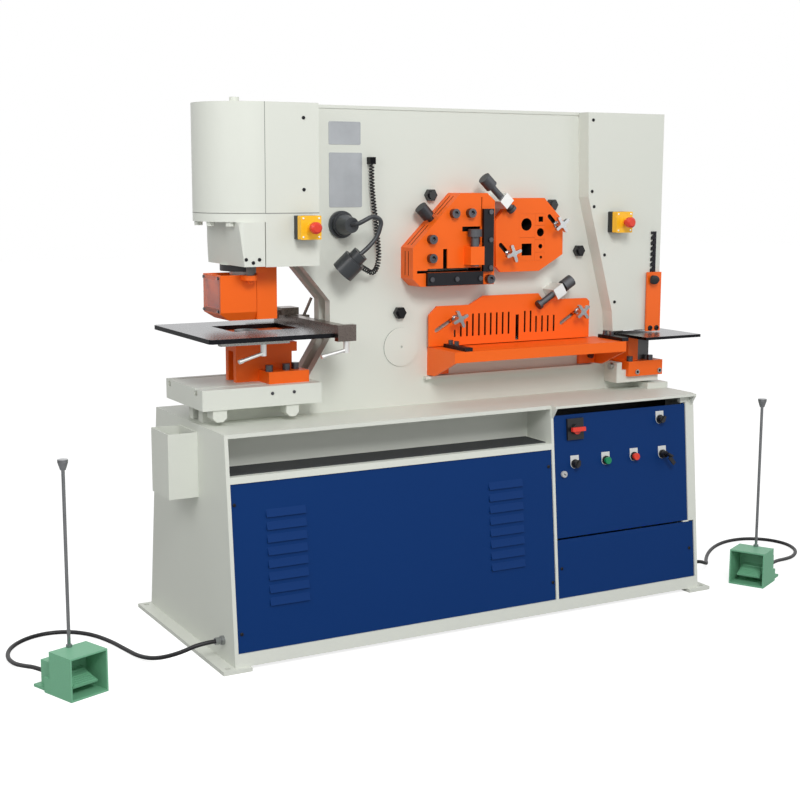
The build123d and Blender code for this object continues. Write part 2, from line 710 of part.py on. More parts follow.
cheek_face = [
    (FRONT_TOP_Y + RAIL_T, TABLE_Z), (HOOD_Y, TABLE_Z), (HOOD_Y, TABLE_Z - HOOD_T),
    (slope_y(HOOD_LOW_Z), HOOD_LOW_Z), (slope_y(HOOD_LOW_Z) + RAIL_T, HOOD_LOW_Z),
]
with BuildPart() as base_cabinet:
    slab_x(end_face, -HALF_LENGTH, -HALF_LENGTH + END_T)
    slab_x(end_face, HALF_LENGTH - END_T, HALF_LENGTH)
    slab_x(divider_face, DIVIDER_X[0], DIVIDER_X[1])
    slab_x(back_face, -HALF_LENGTH + END_T, HALF_LENGTH - END_T)
    slab_x(strip_face, -HALF_LENGTH + END_T, DIVIDER_X[0])
    slab_x(rail_face, -HALF_LENGTH + END_T, HALF_LENGTH - END_T)
    slab_x(stile_face, STILE_X, HALF_LENGTH - END_T)
    slab_x(cheek_face, HOOD_X[0], HOOD_X[0] + HOOD_CHEEK_T)
    slab_x(cheek_face, HOOD_X[1] - HOOD_CHEEK_T, HOOD_X[1])
    block((-HALF_LENGTH, HALF_LENGTH, FRONT_TOP_Y, BACK_TOP_Y, TABLE_Z - TOP_T, TABLE_Z))
    block((HOOD_X[0], HOOD_X[1], HOOD_Y, FRONT_TOP_Y, TABLE_Z - HOOD_T, TABLE_Z))
    block((-HALF_LENGTH + END_T, DIVIDER_X[0], slope_y(SHELF_Z), SHELF_BACK_Y, SHELF_Z - RAIL_T, SHELF_Z))
    block((-HALF_LENGTH + END_T, DIVIDER_X[0], SHELF_BACK_Y, SHELF_BACK_Y + SHEET_T,
           SHELF_Z - RAIL_T, TABLE_Z - TOP_T))
    block((-HALF_LENGTH + END_T, HALF_LENGTH - END_T, FRONT_FOOT_Y + RAIL_T, BACK_FOOT_Y - SHEET_T,
           FOOT_T, FOOT_T + SHEET_T))
    for side in (-1, 1):
        with Locations((side * (FOOT_X[0] + FOOT_X[1]) / 2, 0, FOOT_T / 2)):
            Box(FOOT_X[1] - FOOT_X[0], 2 * FOOT_Y, FOOT_T)
    with GridLocations(2 * ANCHOR_X, 2 * ANCHOR_Y, 2, 2):
        Cylinder(ANCHOR_R, 3 * FOOT_T, mode=Mode.SUBTRACT)
    for ear_z in HINGE_EAR_Z:
        skin((STILE_X - HINGE_EAR_IN, STILE_X + HINGE_EAR_LAP), ear_z, HINGE_EAR_OUT)
        hinge_rod((ear_z[0] - OVERRUN, ear_z[1] + OVERRUN), DOOR_PIN_R + RUN_FIT, Mode.SUBTRACT)
base_cabinet.part.label = "base_cabinet"
export_step(base_cabinet.part, "parts/base_cabinet.step")

# Louvred panel and lower panel, screwed into the front
with BuildPart() as front_panels:
    skin(LOUVRE_PANEL_X, LOUVRE_PANEL_Z, SKIN)
    skin(LOWER_PANEL_X, LOWER_PANEL_Z, SKIN)
    for column_x in LOUVRE_LEFT_X:
        for row in range(LOUVRE_COUNT):
            foot_z = LOUVRE_FIRST_Z - row * LOUVRE_PITCH
            skin((column_x, column_x + LOUVRE_W), (foot_z, foot_z + LOUVRE_SLIT),
                 (SKIN[0] - OVERRUN, SKIN[1] + OVERRUN), Mode.SUBTRACT)
            top = on_slope(column_x, foot_z + LOUVRE_H, SKIN[1]).position
            heel = on_slope(column_x, foot_z + LOUVRE_SLIT, SKIN[1]).position
            toe = on_slope(column_x, foot_z, SKIN[1] + LOUVRE_PROUD).position
            slab_x([(top.Y, top.Z), (heel.Y, heel.Z), (toe.Y, toe.Z)], column_x, column_x + LOUVRE_W)
front_panels.part.label = "front_panels"
export_step(front_panels.part, "parts/front_panels.step")

# Slug box hung on the left end
with BuildPart() as slug_box:
    block(SLUG_BOX)
    block((SLUG_BOX[0] + SLUG_T, SLUG_BOX[1] - SLUG_T, SLUG_BOX[2] + SLUG_T, SLUG_BOX[3] - SLUG_T,
           SLUG_BOX[4] + SLUG_T, SLUG_BOX[5] + OVERRUN), Mode.SUBTRACT)
slug_box.part.label = "slug_box"
export_step(slug_box.part, "parts/slug_box.step")

# Oil tank with its motor, and the shear cylinder on the frame
with BuildPart() as hydraulics:
    block(TANK)
    block(MOTOR_FOOT)
    rod(MOTOR_AT, (MOTOR_AT[0] + MOTOR_L, MOTOR_AT[1], MOTOR_AT[2]), MOTOR_R)
    block(SHEAR_CYL_BASE)
    cylinder_spot = (SHEAR_CYL_AT[0], FRAME_MID)
    upright(cylinder_spot, SHEAR_CYL_R, (SHEAR_CYL_BASE[5], SHEAR_CYL_AT[1] + SHEAR_CYL_H))
    upright(cylinder_spot, SHEAR_ROD_R, (SHEAR_ROD_Z, SHEAR_CYL_BASE[5]))
hydraulics.part.label = "hydraulics"
export_step(hydraulics.part, "parts/hydraulics.step")

# Control gear seen when the door is open
with BuildPart() as control_gear:
    block(GEAR_PLATE)
    for extent in GEAR_BOXES:
        block(extent)
control_gear.part.label = "control_gear"
export_step(control_gear.part, "parts/control_gear.step")

# Front frame plate with the pivot cover, the ledge and the right foot pad
with BuildPart() as front_plate:
    slab_y(FRAME_OUTLINE, FRAME_FRONT, FRAME_FRONT + PLATE_T)
    for x0, x1, z0, z1 in WINDOWS:
        block((x0, x1, FRAME_FRONT - OVERRUN, FRAME_FRONT + PLATE_T + OVERRUN, z0, z1), Mode.SUBTRACT)
    forward(PIVOT, PIVOT_DISC_R, FRAME_FRONT, FRAME_FRONT - PIVOT_DISC_T)
    forward(PIVOT, PIVOT_DOT_R, FRAME_FRONT, FRAME_FRONT - PIVOT_DISC_T - OVERRUN, Mode.SUBTRACT)
    block(LEDGE)
    block(FRAME_PAD)
    block(FRAME_CAP)
front_plate.part.label = "front_plate"
export_step(front_plate.part, "parts/front_plate.step")

# Rear frame plate with the core blocks and the pivot pin
with BuildPart() as rear_frame:
    slab_y(FRAME_OUTLINE, FRAME_BACK - PLATE_T, FRAME_BACK)
    for x0, x1, z0, z1 in WINDOWS:
        block((x0, x1, FRAME_BACK - PLATE_T - OVERRUN, FRAME_BACK + OVERRUN, z0, z1), Mode.SUBTRACT)
    for x0, x1, z0, z1 in CORE_BLOCKS:
        block((x0, x1, FRAME_FRONT + PLATE_T, FRAME_BACK - PLATE_T, z0, z1))
    forward(PIVOT, PIVOT_R, FRAME_BACK - PLATE_T, FRAME_FRONT + PLATE_T)
rear_frame.part.label = "rear_frame"
export_step(rear_frame.part, "parts/rear_frame.step")

# Shear beam that swings between the plates, with the notching punch
beam_front = FRAME_MID - BEAM_T / 2
beam_back = FRAME_MID + BEAM_T / 2
with BuildPart() as moving_beam:
    slab_y(BEAM_OUTLINE, beam_front, beam_back)
    forward(PIVOT, BEAM_BOSS_R, beam_back, beam_front)
    forward(PIVOT, PIVOT_R + RUN_FIT, beam_back + OVERRUN, beam_front - OVERRUN, Mode.SUBTRACT)
    block(NOTCH_PUNCH)
moving_beam.part.label = "moving_beam"
export_step(moving_beam.part, "parts/moving_beam.step")

# Punch cylinder: barrel, flange with bolts, column and gland ring
head_spot = (HEAD_X, FRAME_MID)
with BuildPart() as punch_cylinder:
    upright(head_spot, HEAD_R, (HEAD_Z[0] - FLANGE_T, HEAD_Z[0]))
    block((HEAD_X, HEAD_X + HEAD_R + OVERRUN, FRAME_MID - HEAD_R - OVERRUN, FRAME_MID + HEAD_R + OVERRUN,
           HEAD_Z[0] - FLANGE_T - OVERRUN, HEAD_Z[0] + OVERRUN), Mode.SUBTRACT)
    upright(head_spot, FLANGE_INNER_R, (HEAD_Z[0] - FLANGE_T, HEAD_Z[0]))
    block((COLUMN_TIE[1] - GAP, HEAD_X + HEAD_R + OVERRUN, FRAME_FRONT - GAP, FRAME_BACK + GAP,
           HEAD_Z[0] - FLANGE_T - OVERRUN, HEAD_Z[0] + OVERRUN), Mode.SUBTRACT)
    upright(head_spot, BARREL_R, (HEAD_Z[0], BARREL_TOP_Z))
    with BuildSketch(Plane.XY.offset(COLUMN[4])) as column_face:
        with Locations(((COLUMN[0] + COLUMN[1]) / 2, (COLUMN[2] + COLUMN[3]) / 2)):
            Rectangle(COLUMN[1] - COLUMN[0], COLUMN[3] - COLUMN[2])
        left_corners = column_face.vertices().sort_by(Axis.X)[:2].sort_by(Axis.Y)
        fillet(left_corners[0], COLUMN_FRONT_R)
        back_corner = column_face.vertices().sort_by(Axis.X)[:2].sort_by(Axis.Y)[-1]
        fillet(back_corner, COLUMN_BACK_R)
    extrude(amount=COLUMN[5] - COLUMN[4])
    slab_y([(COLUMN[0] - OVERRUN, COLUMN[4] - OVERRUN), (COLUMN[0] + COLUMN_DRAFT, COLUMN[4] - OVERRUN),
            (COLUMN[0], COLUMN[5]), (COLUMN[0] - OVERRUN, COLUMN[5])],
           COLUMN[2] - OVERRUN, COLUMN[3] + OVERRUN, Mode.SUBTRACT)
    block(COLUMN_INNER)
    block(COLUMN_TIE)
    upright(head_spot, GLAND_RING_INNER_R, (COLUMN[4] - GLAND_RING_T, COLUMN[4]))
    with BuildSketch(Plane.XY.offset(COLUMN[4] - GLAND_RING_T)) as ring_face:
        with Locations(head_spot):
            Circle(GLAND_RING_R)
        with Locations((HEAD_X + HEAD_R, FRAME_MID)):
            Rectangle(2 * HEAD_R, 2 * HEAD_R, mode=Mode.SUBTRACT)
    extrude(amount=GLAND_RING_T)
    for angle in FLANGE_BOLT_ANGLES:
        bolt_x = HEAD_X + FLANGE_BOLT_CIRCLE * math.cos(math.radians(angle))
        bolt_y = FRAME_MID + FLANGE_BOLT_CIRCLE * math.sin(math.radians(angle))
        bolt_foot_z = HEAD_Z[0] - FLANGE_T - FLANGE_BOLT_H
        with BuildSketch(Plane.XY.offset(bolt_foot_z)) as bolt_face:
            with Locations((bolt_x, bolt_y)):
                RegularPolygon(FLANGE_BOLT_R, 6)
        extrude(amount=FLANGE_BOLT_H)
    upright(head_spot, RAM_R + RUN_FIT, (COLUMN[4] - GLAND_RING_T - OVERRUN, RAM_BORE_TOP_Z), Mode.SUBTRACT)
punch_cylinder.part.label = "punch_cylinder"
export_step(punch_cylinder.part, "parts/punch_cylinder.step")

# Sheet cover over the punch cylinder
with BuildPart() as punch_head_cover:
    block(HEAD_BOX)
    upright(head_spot, HEAD_R, (HEAD_Z[0] + HEAD_SEAM, HEAD_Z[1]))
    upright(head_spot, HEAD_R - HEAD_SHEET, (HEAD_Z[0] - OVERRUN, HEAD_Z[1] - HEAD_SHEET), Mode.SUBTRACT)
    block((HEAD_BOX[0] - OVERRUN, HEAD_BOX[1] - HEAD_SHEET,
           HEAD_BOX[2] + HEAD_SHEET, HEAD_BOX[3] - HEAD_SHEET,
           HEAD_BOX[4] - OVERRUN, HEAD_BOX[5] - HEAD_SHEET), Mode.SUBTRACT)
    block((HEAD_BOX[1] - 3 * HEAD_SHEET, HEAD_BOX[1] + OVERRUN, FRAME_FRONT - GAP, FRAME_BACK + GAP,
           HEAD_BOX[4] - OVERRUN, HEAD_BOX[5] - 2 * HEAD_SHEET), Mode.SUBTRACT)
    upright((HEAD_BOSS[0], FRAME_MID), HEAD_BOSS[1], (HEAD_Z[1], HEAD_Z[1] + HEAD_BOSS[2]))
punch_head_cover.part.label = "punch_head_cover"
export_step(punch_head_cover.part, "parts/punch_head_cover.step")

# Ram and punch
with BuildPart() as punch_ram:
    upright(head_spot, RAM_R, RAM_Z)
punch_ram.part.label = "punch_ram"
export_step(punch_ram.part, "parts/punch_ram.step")

with BuildPart() as punch_tool:
    upright(head_spot, PUNCH_NUT_R, PUNCH_NUT_Z)
    upright(head_spot, PUNCH_SHANK_R, PUNCH_SHANK_Z)
    upright(head_spot, PUNCH_R, PUNCH_Z)
punch_tool.part.label = "punch_tool"
export_step(punch_tool.part, "parts/punch_tool.step")

# Swing-away stripper with its clear window
with BuildPart() as stripper:
    block(STRIPPER_BOX)
    block(STRIPPER_HOLLOW, Mode.SUBTRACT)
    block(STRIPPER_SLOT, Mode.SUBTRACT)
    slab_x(STRIPPER_BEVEL, STRIPPER_BOX[0] - OVERRUN, STRIPPER_BOX[1] + OVERRUN, Mode.SUBTRACT)
    slab_y(STRIPPER_SIDE_BEVEL, STRIPPER_BOX[2] - OVERRUN, STRIPPER_BOX[3] + OVERRUN, Mode.SUBTRACT)
    block(STRIPPER_SIGHT, Mode.SUBTRACT)
    block(LUG_ARM)
    upright(STRIPPER_PIN, LUG_R, LUG_Z)
    upright(STRIPPER_PIN, PIN_R + RUN_FIT, (LUG_Z[0] - OVERRUN, LUG_Z[1] + OVERRUN), Mode.SUBTRACT)
stripper.part.label = "stripper"
export_step(stripper.part, "parts/stripper.step")

with BuildPart() as stripper_window:
    block(WINDOW_PANE)
    for y in (WINDOW_PANE[2] + WINDOW_SCREW_IN, WINDOW_PANE[3] - WINDOW_SCREW_IN):
        for z in (WINDOW_PANE[4] + WINDOW_SCREW_IN, WINDOW_PANE[5] - WINDOW_SCREW_IN):
            rod((WINDOW_PANE[0], y, z), (WINDOW_PANE[0] - WINDOW_SCREW_L, y, z), WINDOW_SCREW_R)
stripper_window.part.label = "stripper_window"
export_step(stripper_window.part, "parts/stripper_window.step")

# Fixed half of the stripper with the hinge pin
with BuildPart() as stripper_bracket:
    block(BRACKET_BOX)
    block(BRACKET_HOLLOW, Mode.SUBTRACT)
    block(BRACKET_SLOT, Mode.SUBTRACT)
    for extent in BRACKET_LUGS:
        block(extent)
    upright(STRIPPER_PIN, PIN_R, PIN_Z)
    upright(STRIPPER_PIN, PIN_NUT_R, PIN_NUT_Z)
stripper_bracket.part.label = "stripper_bracket"
export_step(stripper_bracket.part, "parts/stripper_bracket.step")

# Punch bed
with BuildPart() as bolster_block:
    block(BOLSTER)
    for slot_mid in BOLSTER_SLOT_Y:
        block((BOLSTER[0] - OVERRUN, BOLSTER[1] + OVERRUN,
               slot_mid - BOLSTER_SLOT[0] / 2, slot_mid + BOLSTER_SLOT[0] / 2,
               BOLSTER[5] - BOLSTER_SLOT[1] - OVERRUN, BOLSTER[5] + OVERRUN), Mode.SUBTRACT)
        block((BOLSTER[0] - OVERRUN, BOLSTER[1] + OVERRUN,
               slot_mid - BOLSTER_TEE[0] / 2, slot_mid + BOLSTER_TEE[0] / 2,
               BOLSTER[5] - BOLSTER_SLOT[1] - BOLSTER_TEE[1], BOLSTER[5] - BOLSTER_SLOT[1]), Mode.SUBTRACT)
    upright(head_spot, SLUG_HOLE_R, (BOLSTER[4] - OVERRUN, BOLSTER[5] + OVERRUN), Mode.SUBTRACT)
    for extent in BOLSTER_LUGS:
        block(extent)
    lug_edges = bolster_block.edges().filter_by(Axis.Y).group_by(Axis.Z)[0]
    chamfer(lug_edges, LUG_CHAMFER)
bolster_block.part.label = "bolster_block"
export_step(bolster_block.part, "parts/bolster_block.step")

with BuildPart() as die_holder:
    block(HOLDER_BODY)
    upright(head_spot, HOLDER_RING_R, (HOLDER_BODY[5], HOLDER_TOP[5]))
    block(HOLDER_TOP)
    block(HOLDER_FLANGE)
    block(HOLDER_LUG)
    block(HOLDER_SLOT, Mode.SUBTRACT)
    upright(head_spot, DIE_R + REST_GAP, (DIE_Z[0], HOLDER_TOP[5] + OVERRUN), Mode.SUBTRACT)
    upright(head_spot, DIE_BORE_R, (HOLDER_BODY[4] + OVERRUN, DIE_Z[0] + OVERRUN), Mode.SUBTRACT)
die_holder.part.label = "die_holder"
export_step(die_holder.part, "parts/die_holder.step")

with BuildPart() as dies:
    upright(head_spot, DIE_R, DIE_Z)
    upright(head_spot, DIE_BORE_R, (DIE_Z[0] - OVERRUN, DIE_Z[1] + OVERRUN), Mode.SUBTRACT)
    block(NOTCH_DIE)
    block(NOTCH_DIE_MOUTH, Mode.SUBTRACT)
dies.part.label = "dies"
export_step(dies.part, "parts/dies.step")

with BuildPart() as punch_table:
    block(PUNCH_TABLE)
    front_corners = punch_table.edges().filter_by(Axis.Z).group_by(Axis.X)[0]
    chamfer(front_corners, TABLE_CHAMFER)
    block(TABLE_OPENING, Mode.SUBTRACT)
    block(TABLE_RAIL)
punch_table.part.label = "punch_table"
export_step(punch_table.part, "parts/punch_table.step")

with BuildPart() as fence_rail:
    block(FENCE_RAIL)
    block(FENCE_END)
    block(FENCE_CARRIAGE)
    block(FENCE_FINGER)
    block(FENCE_LUG)
    rod(FENCE_STEM[0], FENCE_STEM[1], FENCE_STEM_R)
fence_rail.part.label = "fence_rail"
export_step(fence_rail.part, "parts/fence_rail.step")


def clamp_lever(spot, top_z, reach):
    foot_z = top_z - LEVER_HUB_H
    upright(spot, LEVER_HUB_R, (foot_z, top_z))
    start = (spot[0], spot[1], foot_z + LEVER_HUB_R)
    tip = (start[0] + reach[0], start[1] + reach[1], start[2] + reach[2])
    rod(start, tip, LEVER_ARM_R)
    rod(along(tip, reach, -LEVER_TIP_R), along(tip, reach, LEVER_TIP_R), LEVER_TIP_R)


with BuildPart() as table_lever:
    clamp_lever(TABLE_LEVER_AT, LEVER_TOP_Z, LEVER_REACH)
table_lever.part.label = "table_lever"
export_step(table_lever.part, "parts/table_lever.step")

with BuildPart() as fence_lever:
    clamp_lever(FENCE_LEVER_AT, FENCE_LEVER_TOP_Z, FENCE_LEVER_REACH)
fence_lever.part.label = "fence_lever"
export_step(fence_lever.part, "parts/fence_lever.step")

# Angle shear
with BuildPart() as angle_shear_block:
    slab_y(ANGLE_OUTLINE, ANGLE_FRONT, FRAME_FRONT)
    for extent in ANGLE_CUTS:
        block(extent, Mode.SUBTRACT)
    block(ANGLE_JAW)
    jaw_bore_z = (ANGLE_JAW[4] - OVERRUN, ANGLE_JAW[5] + OVERRUN)
    upright(ANGLE_SCREW_AT, ANGLE_SCREW_R + RUN_FIT, jaw_bore_z, Mode.SUBTRACT)
    bevel_foot = ANGLE_OUTLINE[5]
    bevel_top = ANGLE_OUTLINE[4]
    bevel_dx = bevel_top[0] - bevel_foot[0]
    bevel_dz = bevel_top[1] - bevel_foot[1]
    bevel_turn = math.degrees(math.atan2(bevel_dz, bevel_dx))
    bevel_length = math.hypot(bevel_dx, bevel_dz)
    for groove_y in GROOVE_Y:
        block((ANGLE_OUTLINE[6][0] - OVERRUN, ANGLE_OUTLINE[6][0] + GROOVE_DEEP, groove_y - GROOVE_W / 2,
               groove_y + GROOVE_W / 2, GROOVE_LEFT_Z[0], GROOVE_LEFT_Z[1]), Mode.SUBTRACT)
        for start_share, end_share in GROOVE_BEVEL_SHARES:
            mid_share = (start_share + end_share) / 2
            middle = (bevel_foot[0] + bevel_dx * mid_share, groove_y, bevel_foot[1] + bevel_dz * mid_share)
            with Locations(Location(middle, (0, -bevel_turn, 0))):
                Box(bevel_length * (end_share - start_share), GROOVE_W, 2 * GROOVE_DEEP, mode=Mode.SUBTRACT)
angle_shear_block.part.label = "angle_shear_block"
export_step(angle_shear_block.part, "parts/angle_shear_block.step")

with BuildPart() as shear_guides:
    block(GUIDE_UPRIGHT)
    block(GUIDE_FLAT)
    for extent in TABLE_GUIDES:
        block(extent)
    shank_end = along(BEVEL_KNOB_AT, BEVEL_KNOB_DIR, BEVEL_SHANK_L)
    rod(BEVEL_KNOB_AT, shank_end, BEVEL_SHANK_R)
    rod(shank_end, along(shank_end, BEVEL_KNOB_DIR, KNOB_L), KNOB_R)
    slab_y(ANGLE_OUTLINE, ANGLE_FRONT, FRAME_FRONT, Mode.SUBTRACT)
    block(REAR_GUARD)
    for extent in REAR_GUARD_POSTS:
        block(extent)
shear_guides.part.label = "shear_guides"
export_step(shear_guides.part, "parts/shear_guides.step")

# Bar shear
with BuildPart() as bar_shear_plate:
    slab_y(BAR_OUTLINE, BAR_FRONT, BAR_FRONT + BAR_T)
    for start, end in BAR_SLOTS:
        slot_y(start, end, BAR_SLOT_W, BAR_FRONT - OVERRUN, BAR_FRONT + BAR_T)
    slab_y(BAR_BACK_OUTLINE, BAR_FRONT + BAR_T, FRAME_FRONT)
    x0, x1, z0, z1 = BAR_WINDOW
    block((x0, x1, BAR_FRONT - OVERRUN, FRAME_FRONT + OVERRUN, z0, z1), Mode.SUBTRACT)
    for x0, x1, z0, z1 in BAR_INSERTS:
        block((x0 + REST_GAP, x1 - REST_GAP, BAR_FRONT, FRAME_FRONT, z0 + REST_GAP, z1 - REST_GAP))
    for x, z, radius in BAR_ROUND_HOLES:
        forward((x, z), radius, FRAME_FRONT + OVERRUN, BAR_FRONT - OVERRUN, Mode.SUBTRACT)
    for x, z, side in BAR_SQUARE_HOLES:
        half = side / 2
        block((x - half, x + half, BAR_FRONT - OVERRUN, FRAME_FRONT + OVERRUN, z - half, z + half),
              Mode.SUBTRACT)
bar_shear_plate.part.label = "bar_shear_plate"
export_step(bar_shear_plate.part, "parts/bar_shear_plate.step")

# Flat shear guard and table
with BuildPart() as flat_shear_guard:
    slab_y(GUARD_OUTLINE, GUARD_FRONT, GUARD_FRONT + GUARD_T)
    for x, z0, z1 in GUARD_SLITS:
        half = GUARD_SLIT_W / 2
        block((x - half, x + half, GUARD_FRONT - OVERRUN, GUARD_FRONT + GUARD_T + OVERRUN, z0, z1),
              Mode.SUBTRACT)
    half = GUARD_WIDE_SLIT[3] / 2
    block((GUARD_WIDE_SLIT[0] - half, GUARD_WIDE_SLIT[0] + half, GUARD_FRONT - OVERRUN,
           GUARD_FRONT + GUARD_T + OVERRUN, GUARD_WIDE_SLIT[1], GUARD_WIDE_SLIT[2]), Mode.SUBTRACT)
    for start, end in GUARD_SLOTS:
        slot_y(start, end, GUARD_SLOT_W, GUARD_FRONT - OVERRUN, GUARD_FRONT + GUARD_T + OVERRUN)
    for spot in GUARD_STUDS:
        forward(spot, STUD_R, FRAME_FRONT, GUARD_FRONT + GUARD_T)
flat_shear_guard.part.label = "flat_shear_guard"
export_step(flat_shear_guard.part, "parts/flat_shear_guard.step")

with BuildPart() as flat_shear_table:
    block(FLAT_TABLE)
    block(FLAT_FLANGE)
    for x0, x1 in GUSSET_X:
        slab_x(GUSSET, x0, x1)
    for extent in GUSSET_FEET:
        block(extent)
flat_shear_table.part.label = "flat_shear_table"
export_step(flat_shear_table.part, "parts/flat_shear_table.step")


def star_knob(x, z, face_y, turn):
    stud_end = face_y - STAR_WASHER_T - STAR_STUD_L
    forward((x, z), STAR_WASHER_R, face_y, face_y - STAR_WASHER_T)
    forward((x, z), STAR_STUD_R, face_y - STAR_WASHER_T, stud_end)
    forward((x, z), STAR_HUB_R, stud_end, stud_end - STAR_T)
    for arm in range(4):
        angle = math.radians(turn + 90 * arm)
        tip = (x + STAR_REACH * math.cos(angle), z + STAR_REACH * math.sin(angle))
        middle = ((x + tip[0]) / 2, stud_end - STAR_T / 2, (z + tip[1]) / 2)
        with Locations(Location(middle, (0, -math.degrees(angle), 0))):
            Box(STAR_REACH, STAR_T, 2 * STAR_ARM_R)
        forward(tip, STAR_ARM_R, stud_end, stud_end - STAR_T)


with BuildPart() as star_knobs:
    for spot in STAR_SPOTS:
        star_knob(*spot)
star_knobs.part.label = "star_knobs"
export_step(star_knobs.part, "parts/star_knobs.step")

# Hold-down blocks welded to the frame and their screws
HOLDS = [
    (BAR_HOLD_AXIS, BAR_HOLD_ANGLE, BAR_HOLD_BLOCK, BAR_HOLD_FRONT, BAR_HOLD_KNOB, BAR_HOLD_FOOT),
    (FLAT_HOLD_AXIS, FLAT_HOLD_ANGLE, FLAT_HOLD_BLOCK, FLAT_HOLD_FRONT, FLAT_HOLD_KNOB, FLAT_HOLD_FOOT),
]
with BuildPart() as hold_down_brackets:
    for axis, angle, size, front, knob, foot in HOLDS:
        slab_y(turned_quad(axis, angle, size), front, FRAME_FRONT)
        rod(on_axis(axis, angle, size[0] - OVERRUN), on_axis(axis, angle, size[1] + OVERRUN),
            HOLD_SCREW_R + RUN_FIT, Mode.SUBTRACT)
hold_down_brackets.part.label = "hold_down_brackets"
export_step(hold_down_brackets.part, "parts/hold_down_brackets.step")


def hold_screw(axis, angle, size, front, knob, foot):
    rod(on_axis(axis, angle, knob[0]), on_axis(axis, angle, knob[1]), HOLD_KNOB_R)
    rod(on_axis(axis, angle, knob[1]), on_axis(axis, angle, foot[0]), HOLD_SCREW_R)
    rod(on_axis(axis, angle, foot[0]), on_axis(axis, angle, foot[1]), HOLD_FOOT_R)


with BuildPart() as hold_down_screw_bar:
    hold_screw(*HOLDS[0])
hold_down_screw_bar.part.label = "hold_down_screw_bar"
export_step(hold_down_screw_bar.part, "parts/hold_down_screw_bar.step")

with BuildPart() as hold_down_screw_flat:
    hold_screw(*HOLDS[1])
hold_down_screw_flat.part.label = "hold_down_screw_flat"
export_step(hold_down_screw_flat.part, "parts/hold_down_screw_flat.step")

with BuildPart() as hold_down_screw_angle:
    upright(ANGLE_SCREW_AT, ANGLE_SCREW_R, ANGLE_SCREW_Z)
    upright(ANGLE_SCREW_AT, ANGLE_CAP_R, ANGLE_CAP_Z)
hold_down_screw_angle.part.label = "hold_down_screw_angle"
export_step(hold_down_screw_angle.part, "parts/hold_down_screw_angle.step")

# Right cover over the beam end
with BuildPart() as notch_cover:
    slab_y(COVER_OUTLINE, COVER_FRONT, COVER_BACK)
    slab_y(COVER_INNER, COVER_FRONT + COVER_SHEET, COVER_BACK - COVER_SHEET, Mode.SUBTRACT)
    block((COVER_OUTLINE[0][0] - OVERRUN, FRAME_OUTLINE[3][0] + GAP, FRAME_FRONT - GAP, FRAME_BACK + GAP,
           COVER_OUTLINE[3][1] - OVERRUN, COVER_INNER[0][1]), Mode.SUBTRACT)
    block(COVER_MOUTH, Mode.SUBTRACT)
notch_cover.part.label = "notch_cover"
export_step(notch_cover.part, "parts/notch_cover.step")

with BuildPart() as notch_table:
    block(NOTCH_TABLE)
    block(NOTCH_OPENING, Mode.SUBTRACT)
notch_table.part.label = "notch_table"
export_step(notch_table.part, "parts/notch_table.step")

with BuildPart() as notch_die_holder:
    block(NOTCH_HOLDER)
    block(NOTCH_UPRIGHT)
    block(NOTCH_HOLDER_SLOT, Mode.SUBTRACT)
notch_die_holder.part.label = "notch_die_holder"
export_step(notch_die_holder.part, "parts/notch_die_holder.step")

with BuildPart() as notch_bracket:
    slab_y(NOTCH_BED, NOTCH_BED_FRONT, FRAME_FRONT)
    slab_y(NOTCH_BED_REAR, FRAME_FRONT, NOTCH_BED_BACK)
notch_bracket.part.label = "notch_bracket"
export_step(notch_bracket.part, "parts/notch_bracket.step")

with BuildPart() as guard_rack:
    block(RACK)
    for tooth in range(RACK_TEETH):
        bite_z = RACK_TOP_Z - tooth * RACK_PITCH
        slab_y([(RACK[0] - OVERRUN, bite_z), (RACK[0] + RACK_BITE[0], bite_z + RACK_BITE[1]),
                (RACK[0] + RACK_BITE[0], bite_z), (RACK[0] - OVERRUN, bite_z - RACK_BITE[0])],
               RACK[2] - OVERRUN, RACK[3] + OVERRUN, Mode.SUBTRACT)
guard_rack.part.label = "guard_rack"
export_step(guard_rack.part, "parts/guard_rack.step")

with BuildPart() as notch_guard:
    block(GUARD_PLATE)
    knob_foot = GUARD_PLATE[2]
    forward(GUARD_KNOB_AT, GUARD_KNOB_STEM_R, knob_foot, knob_foot - GUARD_KNOB_STEM_L)
    forward(GUARD_KNOB_AT, GUARD_KNOB_R, knob_foot - GUARD_KNOB_STEM_L, knob_foot - GUARD_KNOB_L)
notch_guard.part.label = "notch_guard"
export_step(notch_guard.part, "parts/notch_guard.step")

